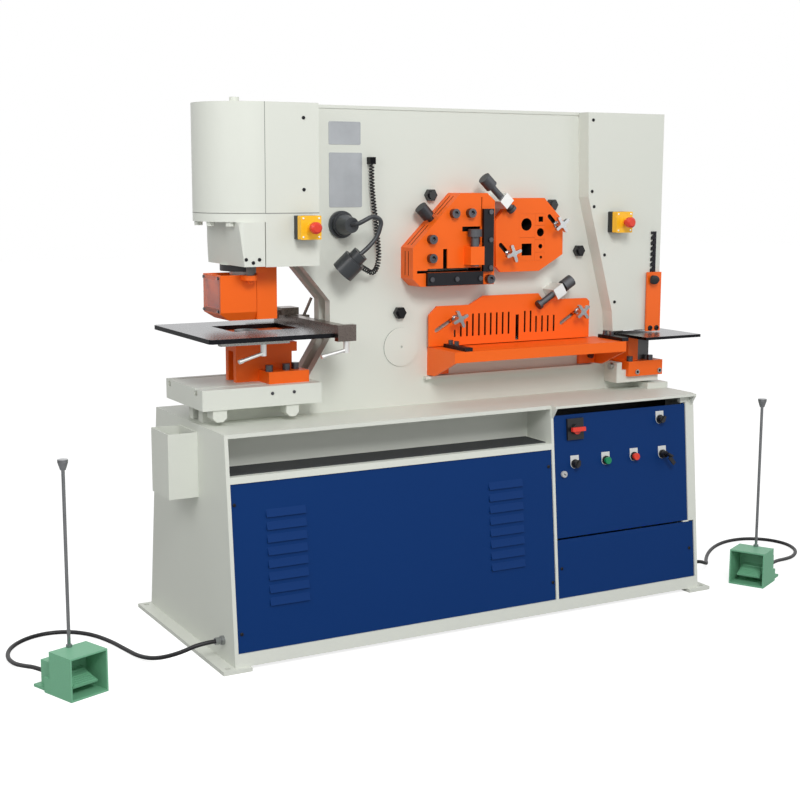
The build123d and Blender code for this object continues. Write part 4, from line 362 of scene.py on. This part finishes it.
stop_box = two_tone("stop_box_polycarbonate", "#FFC322", "#1C1C1E", 0.34,
                    [(-610, -510, -206, -170, 1250, 1346), (610, 710, -160, -124, 1250, 1346)])
guard_two = two_tone("guard_enamel_and_knob", ORANGE, "#1A1A1C", 0.4, [(770, 890, -260, -149.6, 1000, 1180)])
cylinder_two = two_tone("cylinder_enamel_and_gland", CREAM, "#232325", 0.4,
                        [(-900, -480, -200, 160, 1100, 1181.5)])
switch_two = two_tone("switch_black_and_chrome_lock", "#1C1C1E", "#B8B8B8", 0.3,
                      [(308, 334, -400, -300, 457, 483)])
switch_handle = two_tone("switch_black_hub_red_bar", "#1C1C1E", "#E23A2A", 0.35,
                         [(335, 410, -362, -332, 600, 640)])
print("two-colour finishes:", stop_box.name, guard_two.name, cylinder_two.name, switch_two.name)

# %% [markdown]
# Now every CAD node gets its finish. A table of names is easier to check against the machine than a long
# row of assignments.

# %% Dress the CAD nodes
finishes = {
    cream: ["base_cabinet", "slug_box", "front_plate", "rear_frame", "notch_bracket", "notch_cover",
            "bolster_block"],
    head_cream: ["punch_head_cover"],
    cylinder_two: ["punch_cylinder"],
    orange: ["stripper_bracket", "die_holder", "flat_shear_table", "notch_die_holder", "stripper"],
    orange_bar: ["bar_shear_plate"],
    orange_guard: ["flat_shear_guard"],
    orange_block: ["angle_shear_block"],
    guard_two: ["notch_guard"],
    blue: ["front_panels", "control_door"],
    green: ["pedal_housings", "treadle_left", "treadle_right"],
    screw_steel: ["cap_screws"],
    nut_black: ["pivot_nuts"],
    black_steel: ["hydraulics", "shear_guides", "guard_rack", "moving_beam"],
    charcoal_steel: ["hold_down_screw_angle", "hold_down_screw_bar", "hold_down_screw_flat"],
    table_steel: ["punch_table", "notch_table"],
    gun_metal: ["fence_rail"],
    tool_steel: ["dies"],
    ground_steel: ["punch_ram", "punch_tool"],
    zinc_block: ["hold_down_brackets", "table_lever", "fence_lever"],
    satin_plate: ["star_knobs"],
    plated: ["pedal_rods", "cable_glands"],
    switch_two: ["door_fittings"],
    lamp_black: ["work_lamp"],
    black_plastic: ["control_gear", "selector_left", "selector_top", "key_switch"],
    switch_handle: ["main_switch_handle"],
    red_plastic: ["stop_button", "estop_button_left", "estop_button_right"],
    green_plastic: ["start_button"],
    stop_box: ["estop_boxes"],
    clear_pane: ["stripper_window"],
    cable_jacket: ["lamp_cord", "pedal_cable_left", "pedal_cable_right"],
}
dressed = 0
for material, names in finishes.items():
    for name in names:
        nodes[name].data.materials.clear()
        nodes[name].data.materials.append(material)
        dressed += 1
print("dressed", dressed, "of", len(nodes))

# %% [markdown]
# The two foot switch cables lie on the floor in loose curves, from the cabinet to the back of each switch. The
# points are in millimetres. The last two of each are given in the switch's own turned frame.

# %% Routes of the foot switch cables
LEFT_ROUTE = [
    (-913, -282, 74), (-962, -282, 74), (-1020, -262, 48), (-1070, -205, 22), (-1097, -125, 9),
    (-1111, -32, 7), (-1128, 66, 7), (-1162, 162, 7), (-1222, 224, 7), (-1300, 236, 7),
    (-1372, 202, 7), (-1425, 140, 7), (-1450, 62, 8), (-1450, -20, 14), (-1436, -92, 27),
]
RIGHT_ROUTE = [
    (913, -282, 74), (965, -282, 74), (1036, -238, 46), (1102, -172, 20), (1162, -98, 8),
    (1240, -22, 7), (1332, 44, 7), (1430, 82, 7), (1524, 76, 7), (1590, 22, 7), (1613, -66, 7),
    (1572, -160, 7), (1492, -224, 9), (1412, -262, 18), (1342, -298, 31),
]
LEFT_PEDAL = ((-1380, -381), 20.0)
RIGHT_PEDAL = ((1042, -359), -62.5)


def pedal_point(corner, angle, local):
    spot = Matrix.Rotation(math.radians(angle), 3, "Z") @ Vector((local[0], local[1], 0))
    return (corner[0] + spot.x, corner[1] + spot.y, local[2])


LEFT_ROUTE += [pedal_point(*LEFT_PEDAL, (40, 227, 40)), pedal_point(*LEFT_PEDAL, (40, 172, 40))]
RIGHT_ROUTE += [pedal_point(*RIGHT_PEDAL, (88, 227, 40)), pedal_point(*RIGHT_PEDAL, (88, 172, 40))]
print("route points:", len(LEFT_ROUTE), len(RIGHT_ROUTE))

# %% [markdown]
# A NURBS curve with the route's points as its control points gives one smooth line, and its bevel gives the
# jacket's thickness.

# %% Cables to the foot switches
CABLE_RADIUS = 0.0065


def smooth_line(name, points, radius):
    data = bpy.data.curves.new(name, "CURVE")
    data.dimensions = "3D"
    data.bevel_depth = radius
    data.bevel_resolution = 5
    data.resolution_u = 10
    data.use_fill_caps = True
    spline = data.splines.new("NURBS")
    spline.points.add(len(points) - 1)
    for point, place in zip(spline.points, points):
        point.co = (place[0] * MM, place[1] * MM, place[2] * MM, 1.0)
    spline.order_u = 3
    spline.use_endpoint_u = True
    line = bpy.data.objects.new(name, data)
    bpy.context.scene.collection.objects.link(line)
    return line


for name, route, length in (("pedal_cable_left", LEFT_ROUTE, 1.24), ("pedal_cable_right", RIGHT_ROUTE, 1.40)):
    cable = smooth_line(name + "_jacket", route, CABLE_RADIUS)
    cable.data.materials.append(cable_jacket)
    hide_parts(name)
    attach(cable, "machine")
    print(name, length, "m")

# %% [markdown]
# A curly cord feeds the work lamp. We lay a plain curve along its route and read the smooth points back from it.
# They are the middle line that the cord is wound round.

# %% Middle line of the lamp cord
TAIL_L = 50
LAST_BEND = 36
tail_at = Vector((-386.4, -165.3, 1188.3))
tail_way = Vector((0.815, 0.458, -0.356)).normalized()
coil_end = tail_at + tail_way * TAIL_L
COIL_ROUTE = [
    (-281, -92, 1490), (-281, -92, 1440), (-275, -92, 1372), (-265, -92, 1306), (-259, -92, 1246),
    (-256, -96, 1196), (-270, -107, 1160), (-296, -123, 1146), tuple(coil_end + tail_way * LAST_BEND),
    tuple(coil_end),
]
guide = smooth_line("coil_guide", COIL_ROUTE, 0.0)
guide.data.resolution_u = 24
guide_mesh = bpy.data.meshes.new_from_object(guide)
guide_points = [v.co.copy() for v in guide_mesh.vertices]
bpy.data.objects.remove(guide)
bpy.data.meshes.remove(guide_mesh)
run = [0.0]
for a, b in zip(guide_points, guide_points[1:]):
    run.append(run[-1] + (b - a).length)
print("lamp cord:", round(run[-1], 3), "m along its middle line")

# %% [markdown]
# The helix goes round that line step by step, just as the cord is wound on a rod when it is made. At each end it
# opens out from the middle over a few steps.

# %% Wind the helix
COIL_RADIUS = 0.0067
TURN_PITCH = 0.0098
STEPS_PER_TURN = 14
OPENING_STEPS = 10
steps = int(run[-1] / TURN_PITCH * STEPS_PER_TURN)
side = Vector((1, 0, 0))
helix = []
index = 0
for step in range(steps + 1):
    distance = run[-1] * step / steps
    while index < len(run) - 2 and run[index + 1] < distance:
        index += 1
    share = (distance - run[index]) / (run[index + 1] - run[index])
    middle = guide_points[index].lerp(guide_points[index + 1], share)
    way = (guide_points[index + 1] - guide_points[index]).normalized()
    side = (side - way * side.dot(way)).normalized()
    other = way.cross(side)
    angle = 2 * math.pi * step / STEPS_PER_TURN
    reach = COIL_RADIUS * min(1.0, step / OPENING_STEPS, (steps - step) / OPENING_STEPS)
    helix.append(middle + (side * math.cos(angle) + other * math.sin(angle)) * reach)
print("helix:", round(run[-1] / TURN_PITCH), "turns,", len(helix), "points")

# %% [markdown]
# The points become a thin round wire. It takes the place of the plain tube that stands for the cord in the CAD
# model.

# %% Curly lamp cord
WIRE_RADIUS = 0.0023
coil_data = bpy.data.curves.new("curly_cord", "CURVE")
coil_data.dimensions = "3D"
coil_data.bevel_depth = WIRE_RADIUS
coil_data.bevel_resolution = 2
coil_data.resolution_u = 1
winding = coil_data.splines.new("POLY")
winding.points.add(len(helix) - 1)
for point, place in zip(winding.points, helix):
    point.co = (place.x, place.y, place.z, 1.0)
coil_curve = bpy.data.objects.new("curly_cord_line", coil_data)
bpy.context.scene.collection.objects.link(coil_curve)
depsgraph = bpy.context.evaluated_depsgraph_get()
coil_mesh = bpy.data.meshes.new_from_object(coil_curve.evaluated_get(depsgraph))
bpy.data.objects.remove(coil_curve)
curly = bpy.data.objects.new("curly_lamp_cord", coil_mesh)
bpy.context.scene.collection.objects.link(curly)
curly.data.materials.clear()
curly.data.materials.append(cable_jacket)
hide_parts("lamp_cord")
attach(curly, "machine")
print("curly cord:", len(curly.data.polygons), "faces")

# %% [markdown]
# The other new pieces are modelled as one would by hand: start from a simple solid, go into edit mode, choose
# some edges or faces, and bevel, inset or extrude them. Three helpers save repeating the first steps.

# %% Helpers for modelling


def clear_selection():
    bpy.ops.object.select_all(action="DESELECT")


def choose(piece, kind, test):
    """Selects only the faces or edges of the piece in edit mode that pass the test."""
    mesh = bmesh.from_edit_mesh(piece.data)
    bpy.ops.mesh.select_all(action="DESELECT")
    bpy.context.tool_settings.mesh_select_mode = (False, kind == "EDGE", kind == "FACE")
    for item in (mesh.faces if kind == "FACE" else mesh.edges):
        item.select_set(test(item))
    bmesh.update_edit_mesh(piece.data)


def begin_cube(name, size, middle=(0, 0, 0)):
    """Adds a cube of that size in metres, with the size put into its mesh, and opens it in edit mode."""
    clear_selection()
    bpy.ops.mesh.primitive_cube_add(size=1)
    cube = bpy.context.object
    cube.name = name
    cube.scale = size
    cube.location = middle
    bpy.ops.object.transform_apply(location=True, rotation=True, scale=True)
    bpy.ops.object.mode_set(mode="EDIT")
    return cube


# %% [markdown]
# The covers and panels are held by small screws with round heads and a hexagon socket. One is modelled: a
# cylinder whose top rim is bevelled, with a socket inset and pushed in. Every other screw is a copy of its mesh.

# %% One button-head screw
clear_selection()
bpy.ops.mesh.primitive_cylinder_add(vertices=24, radius=0.0055, depth=0.003, location=(0, 0, 0.0013))
screw = bpy.context.object
screw.name = "screw_master"
bpy.ops.object.transform_apply(location=True)
bpy.ops.object.mode_set(mode="EDIT")
choose(screw, "EDGE", lambda e: all(v.co.z > 0.002 for v in e.verts))
bpy.ops.mesh.bevel(offset=0.0016, segments=3)
choose(screw, "FACE", lambda f: f.normal.z > 0.99)
bpy.ops.mesh.inset(thickness=0.0014)
bpy.ops.mesh.extrude_region_move(TRANSFORM_OT_translate={"value": (0, 0, -0.0016)})
bpy.ops.object.mode_set(mode="OBJECT")
bpy.ops.object.shade_smooth_by_angle(angle=math.radians(35))
print("screw:", len(screw.data.polygons), "faces")

# %% [markdown]
# A copy is turned so that its head points out of the wall it sits on, and the turn is put into its mesh, so the
# object itself stays at the origin. The cabinet front leans back by five degrees, and its screws lean with it.

# %% Set a copy on a wall
CABINET_FRONT = -372
CABINET_FOOT = 12
LEAN = math.atan(62 / 691)
FACING_FRONT = Matrix.Rotation(math.radians(90), 4, "X")
FACING_SLOPE = Matrix.Rotation(math.radians(90) - LEAN, 4, "X")
FACING_LEFT = Matrix.Rotation(math.radians(-90), 4, "Y")


def slope_point(x, z, out):
    """Gives the point on the leaning front at x and z, moved out of it by so many millimetres."""
    y = CABINET_FRONT + (z - CABINET_FOOT) * math.tan(LEAN) - out * math.cos(LEAN)
    return Vector((x, y, z + out * math.sin(LEAN))) * MM


def set_copy(master, name, spot, turn, body, material, size=1.0):
    piece = bpy.data.objects.new(name, master.data.copy())
    piece.data.transform(Matrix.Translation(spot) @ turn @ Matrix.Scale(size, 4))
    piece.data.materials.clear()
    piece.data.materials.append(material)
    bpy.context.scene.collection.objects.link(piece)
    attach(piece, body)


# %% [markdown]
# Each row of screws has its own spots, wall, body and size. Those in the clear pane swing with the stripper, and
# the two large bolts at the foot of the notch guard rise with it.

# %% Screws
PANEL_SINK = -4
LID_INSET = 8
cover_spots = [(-560, -180, 1625), (-560, -180, 1411), (-752, -180, 1204), (-729, -180, 1194), (-709, -180, 1203),
               (553, -134, 1644), (555, -134, 1403), (565, -134, 1351), (615, -134, 1184), (664, -134, 1018)]
panel_spots = [(-862, 495), (-858, 110), (261, 501), (264, 112), (302, 153), (853, 155)]
lid_spots = [(x, face, z) for x0, x1, face in ((-594, -526, -230), (626, 694, -184))
             for x in (x0 + LID_INSET, x1 - LID_INSET) for z in (1270, 1326)]
pane_spots = [(-803, y, z) for y in (-80, 40) for z in (1042, 1143)]
foot_spots = [(814, -149, 920), (843, -149, 920)]


def in_metres(spots):
    return [Vector(spot) * MM for spot in spots]


on_slope = [slope_point(x, z, PANEL_SINK) for x, z in panel_spots]
screw_rows = [
    ("cover_screw", in_metres(cover_spots), FACING_FRONT, "machine", "dark_steel", black_steel, 1.0),
    ("panel_screw", on_slope, FACING_SLOPE, "machine", "dark_steel", black_steel, 1.0),
    ("lid_screw", in_metres(lid_spots), FACING_FRONT, "machine", "bright_steel", zinc_block, 0.6),
    ("pane_screw", in_metres(pane_spots), FACING_LEFT, "stripper", "dark_steel", black_steel, 0.9),
    ("guard_bolt", in_metres(foot_spots), FACING_FRONT, "notch_guard", "dark_steel", black_steel, 1.7),
]
for name, spots, facing, body, slot, material, size in screw_rows:
    for number, spot in enumerate(spots):
        set_copy(screw, "%s_%d" % (name, number), spot, facing, body, material, size)
print("screws set:", sum(len(row[1]) for row in screw_rows))

# %% [markdown]
# Two plain metal plates sit on the front of the frame. Each starts as a cube at its size, has its corners
# rounded, and gets a shallow border by insetting the front face.

# %% Metal plates on the frame
PLATE_CORNER = 0.004
PLATE_BORDER = 0.003


def flat_plate(name, low, high):
    size = [(b - a) * MM for a, b in zip(low, high)]
    plate = begin_cube(name, size, [(a + b) / 2 * MM for a, b in zip(low, high)])
    choose(plate, "EDGE", lambda e: abs(e.verts[0].co.y - e.verts[1].co.y) > 0.5 * size[1])
    bpy.ops.mesh.bevel(offset=PLATE_CORNER, segments=4)
    choose(plate, "FACE", lambda f: f.normal.y < -0.99)
    bpy.ops.mesh.inset(thickness=PLATE_BORDER)
    bpy.ops.mesh.extrude_region_move(TRANSFORM_OT_translate={"value": (0, 0.0003, 0)})
    bpy.ops.object.mode_set(mode="OBJECT")
    return plate


for name, low, high in (("data_plate_upper", (-426, -79.2, 1550), (-314, -77.8, 1621)),
                        ("data_plate_lower", (-425, -79.2, 1355), (-309, -77.8, 1525))):
    plate = flat_plate(name, low, high)
    plate.data.materials.append(aluminium)
    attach(plate, "machine")
    print(name, "faces", len(plate.data.polygons))

# %% [markdown]
# Behind each control on the door sits a white plate with a round foot. It is a cube with the two lower corners
# bevelled almost to a half circle, modelled flat once and then set on the sloping door.

# %% White plates behind the controls
CONTROLS = {"selector_left": (368, 501), "selector_top": (735, 622), "key": (742, 500), "start": (497, 501),
            "stop": (618, 503)}
PLATE_RISE = 6
PLATE_SINK = -3.6


def through_edge(edge):
    return abs(edge.verts[0].co.z - edge.verts[1].co.z) > 0.001


legend = begin_cube("legend_master", (0.034, 0.044, 0.0012))
choose(legend, "EDGE", lambda e: e.verts[0].co.y < -0.02 and through_edge(e))
bpy.ops.mesh.bevel(offset=0.0165, segments=8)
choose(legend, "EDGE", lambda e: e.verts[0].co.y > 0.02 and through_edge(e))
bpy.ops.mesh.bevel(offset=0.001, segments=2)
bpy.ops.object.mode_set(mode="OBJECT")
for name, (x, z) in CONTROLS.items():
    set_copy(legend, "legend_" + name, slope_point(x, z + PLATE_RISE, PLATE_SINK), FACING_SLOPE, "door",
             label_white)
print("white plates:", len(CONTROLS))

# %% [markdown]
# The two selectors carry a white line that shows where they point. It is a thin bar with bevelled ends on the
# front of the knob, and it turns with the knob. The door lock's dark slot is a copy of the same bar, turned
# aslant on the lock's round face.

# %% Selector lines and lock slot
LOCK_AT = (317, 472.6)
line_bar = begin_cube("line_master", (0.012, 0.0026, 0.0008), (0.0065, 0, 0))
choose(line_bar, "EDGE", lambda e: abs(e.verts[0].co.z - e.verts[1].co.z) > 0.0005)
bpy.ops.mesh.bevel(offset=0.0011, segments=3)
bpy.ops.object.mode_set(mode="OBJECT")


def turned_on_slope(degrees):
    return FACING_SLOPE @ Matrix.Rotation(math.radians(degrees), 4, "Z")


for body, angle in (("selector_left", 60), ("selector_top", 45)):
    set_copy(line_bar, "line_" + body, slope_point(*CONTROLS[body], 16.2), turned_on_slope(angle), body,
             label_white)
set_copy(line_bar, "lock_slot", slope_point(*LOCK_AT, 4.1), turned_on_slope(-35), "door",
         black_plastic, 0.9)
print("selector lines: 2, lock slot: 1")

# %% [markdown]
# Each treadle has ribs across it, so that a shoe does not slip. One rib is a cube whose two upper edges are
# bevelled round. Its copies lie in the tilted plane of the treadle and go down with it.

# %% Treadle ribs
TREADLE_MIDDLE = (64, 51, 42)
TREADLE_TILT = 17
RIB_ROWS = (-27, -18, -9, 0, 9)
RIB_UP = 3.9


def along_top(edge):
    return all(v.co.z > 0 for v in edge.verts) and abs(edge.verts[0].co.x - edge.verts[1].co.x) > 0.01


rib = begin_cube("rib_master", (0.074, 0.0044, 0.0026))
choose(rib, "EDGE", along_top)
bpy.ops.mesh.bevel(offset=0.0014, segments=3)
bpy.ops.object.mode_set(mode="OBJECT")
ribs = 0
for body, (corner, angle) in (("treadle_left", LEFT_PEDAL), ("treadle_right", RIGHT_PEDAL)):
    treadle = Matrix.Translation(Vector((corner[0], corner[1], 0)) * MM)
    treadle = treadle @ Matrix.Rotation(math.radians(angle), 4, "Z")
    treadle = treadle @ Matrix.Translation(Vector(TREADLE_MIDDLE) * MM)
    treadle = treadle @ Matrix.Rotation(math.radians(TREADLE_TILT), 4, "X")
    for across in RIB_ROWS:
        on_treadle = treadle @ Matrix.Translation(Vector((0, across, RIB_UP)) * MM)
        set_copy(rib, "rib_%s_%d" % (body, ribs), Vector((0, 0, 0)), on_treadle, body, green)
        ribs += 1
print("treadle ribs:", ribs)

# %% [markdown]
# The notch guard is clamped by a hand knob with seven lobes. It starts as a cylinder with fourteen sides. Every
# second upright edge is drawn in, and bevels round the lobes and the rim.

# %% Lobed guard knob
KNOB_SIDES = 14
KNOB_AT = (816, -165.4, 1093)


def upright_edge(edge):
    return abs(edge.verts[0].co.z - edge.verts[1].co.z) > 0.005


def at_even_corner(edge):
    spot = edge.verts[0].co
    return round(math.degrees(math.atan2(spot.y, spot.x)) / (360 / KNOB_SIDES)) % 2 == 0


def on_rim(edge):
    return all(v.co.z > 0.006 for v in edge.verts) and any(abs(f.normal.z) < 0.5 for f in edge.link_faces)


clear_selection()
bpy.ops.mesh.primitive_cylinder_add(vertices=KNOB_SIDES, radius=0.0178, depth=0.0136)
knob = bpy.context.object
knob.name = "guard_hand_knob"
bpy.ops.object.mode_set(mode="EDIT")
choose(knob, "EDGE", lambda e: upright_edge(e) and at_even_corner(e))
bpy.ops.transform.resize(value=(0.872, 0.872, 1), center_override=(0, 0, 0))
choose(knob, "EDGE", upright_edge)
bpy.ops.mesh.bevel(offset=0.0026, segments=3)
choose(knob, "EDGE", on_rim)
bpy.ops.mesh.bevel(offset=0.002, segments=3)
bpy.ops.object.mode_set(mode="OBJECT")
knob.data.transform(Matrix.Translation(Vector(KNOB_AT) * MM) @ FACING_FRONT)
bpy.ops.object.shade_smooth_by_angle(angle=math.radians(35))
knob.data.materials.append(black_plastic)
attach(knob, "notch_guard")
print("guard knob:", len(knob.data.polygons), "faces")

# %% [markdown]
# A dark rubber mat lines the floor of the long tool shelf. It starts as a cube, and its front edge is bevelled
# where the rubber is worn round.

# %% Shelf mat
mat = begin_cube("shelf_mat", (1.128, 0.118, 0.003), (-0.299, -0.2395, 0.5787))
choose(mat, "EDGE", lambda e: all(v.co.z > 0.579 and v.co.y < -0.29 for v in e.verts))
bpy.ops.mesh.bevel(offset=0.0015, segments=3)
bpy.ops.object.mode_set(mode="OBJECT")
mat.data.materials.append(mat_rubber)
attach(mat, "machine")
print("shelf mat:", [round(v, 3) for v in mat.dimensions])

# %% [markdown]
# Four pieces were only patterns to copy from. Their copies have meshes of their own, so the patterns can go.

# %% Remove the patterns
patterns = (screw, legend, line_bar, rib)
for pattern in patterns:
    bpy.data.objects.remove(pattern)
print("patterns removed:", len(patterns))

# %% [markdown]
# The world is a pale studio. The camera and polished metal see it as white, while it lights the machine with
# half that strength.

# %% World


def any_ray(tree, kinds):
    """Gives 1 for a ray of any of these kinds, and 0 for the others."""
    path = add(tree, "ShaderNodeLightPath")
    found = path.outputs[kinds[0]]
    for kind in kinds[1:]:
        found = larger(tree, found, path.outputs[kind])
    return found


world = bpy.data.worlds.new("pale_studio")
bpy.context.scene.world = world
world.use_nodes = True
tree = world.node_tree
tree.nodes.clear()
seen = any_ray(tree, ("Is Camera Ray", "Is Transmission Ray", "Is Glossy Ray"))
soft = add(tree, "ShaderNodeBackground", inputs={"Color": (1, 1, 1, 1), "Strength": 0.5})
white = add(tree, "ShaderNodeBackground", inputs={"Color": (1, 1, 1, 1), "Strength": 1.0})
both = add(tree, "ShaderNodeMixShader", {"Fac": seen, 1: soft.outputs[0], 2: white.outputs[0]})
add(tree, "ShaderNodeOutputWorld", {"Surface": both.outputs[0]})
print("world:", world.name)

# %% [markdown]
# One strong lamp from the front left shades the round head. Weaker ones stand on the left, close to the punch
# head, and on the right.

# %% Lamps


def lamp(name, place, target, size, power):
    data = bpy.data.lights.new(name, "AREA")
    data.size = size
    data.energy = power
    made = bpy.data.objects.new(name, data)
    made.location = place
    made.rotation_euler = (Vector(target) - Vector(place)).to_track_quat("-Z", "Y").to_euler()
    bpy.context.scene.collection.objects.link(made)


lamp("key_light", (-1.4, -4.8, 4.2), (0, 0, 0.9), 1.6, 158)
lamp("left_light", (-5.2, -2.0, 3.2), (0, 0, 1.2), 2.5, 26)
lamp("head_light", (-2.4, -0.9, 2.0), (-0.75, 0.0, 1.3), 0.8, 6)
lamp("right_light", (3.6, -4.0, 2.6), (0, 0, 0.9), 3.0, 30)
print("lamps: 4")

# %% [markdown]
# The floor is white to the camera and still takes the shadow: what the camera sees of it has a glow added to
# the light that falls on it.

# %% Floor
CLOUD_MM = 900
clear_selection()
bpy.ops.mesh.primitive_plane_add(size=40, location=(0, 0, -0.0005))
floor = bpy.context.object
floor.name = "studio_floor"
floor_paint, tree, place = start("white_floor")
tone = stretched(tree, noise(tree, place, CLOUD_MM, 2.0), 0.5, 0.52)
flat = add(tree, "ShaderNodeBsdfDiffuse", {"Color": tone})
glow = add(tree, "ShaderNodeEmission", inputs={"Color": (1, 1, 1, 1), "Strength": 0.78})
lift = add(tree, "ShaderNodeAddShader", {0: flat.outputs[0], 1: glow.outputs[0]})
seen = any_ray(tree, ("Is Camera Ray", "Is Transmission Ray"))
both = add(tree, "ShaderNodeMixShader", {"Fac": seen, 1: flat.outputs[0], 2: lift.outputs[0]})
add(tree, "ShaderNodeOutputMaterial", {"Surface": both.outputs[0]})
floor.data.materials.append(floor_paint)
print("floor:", floor.name)
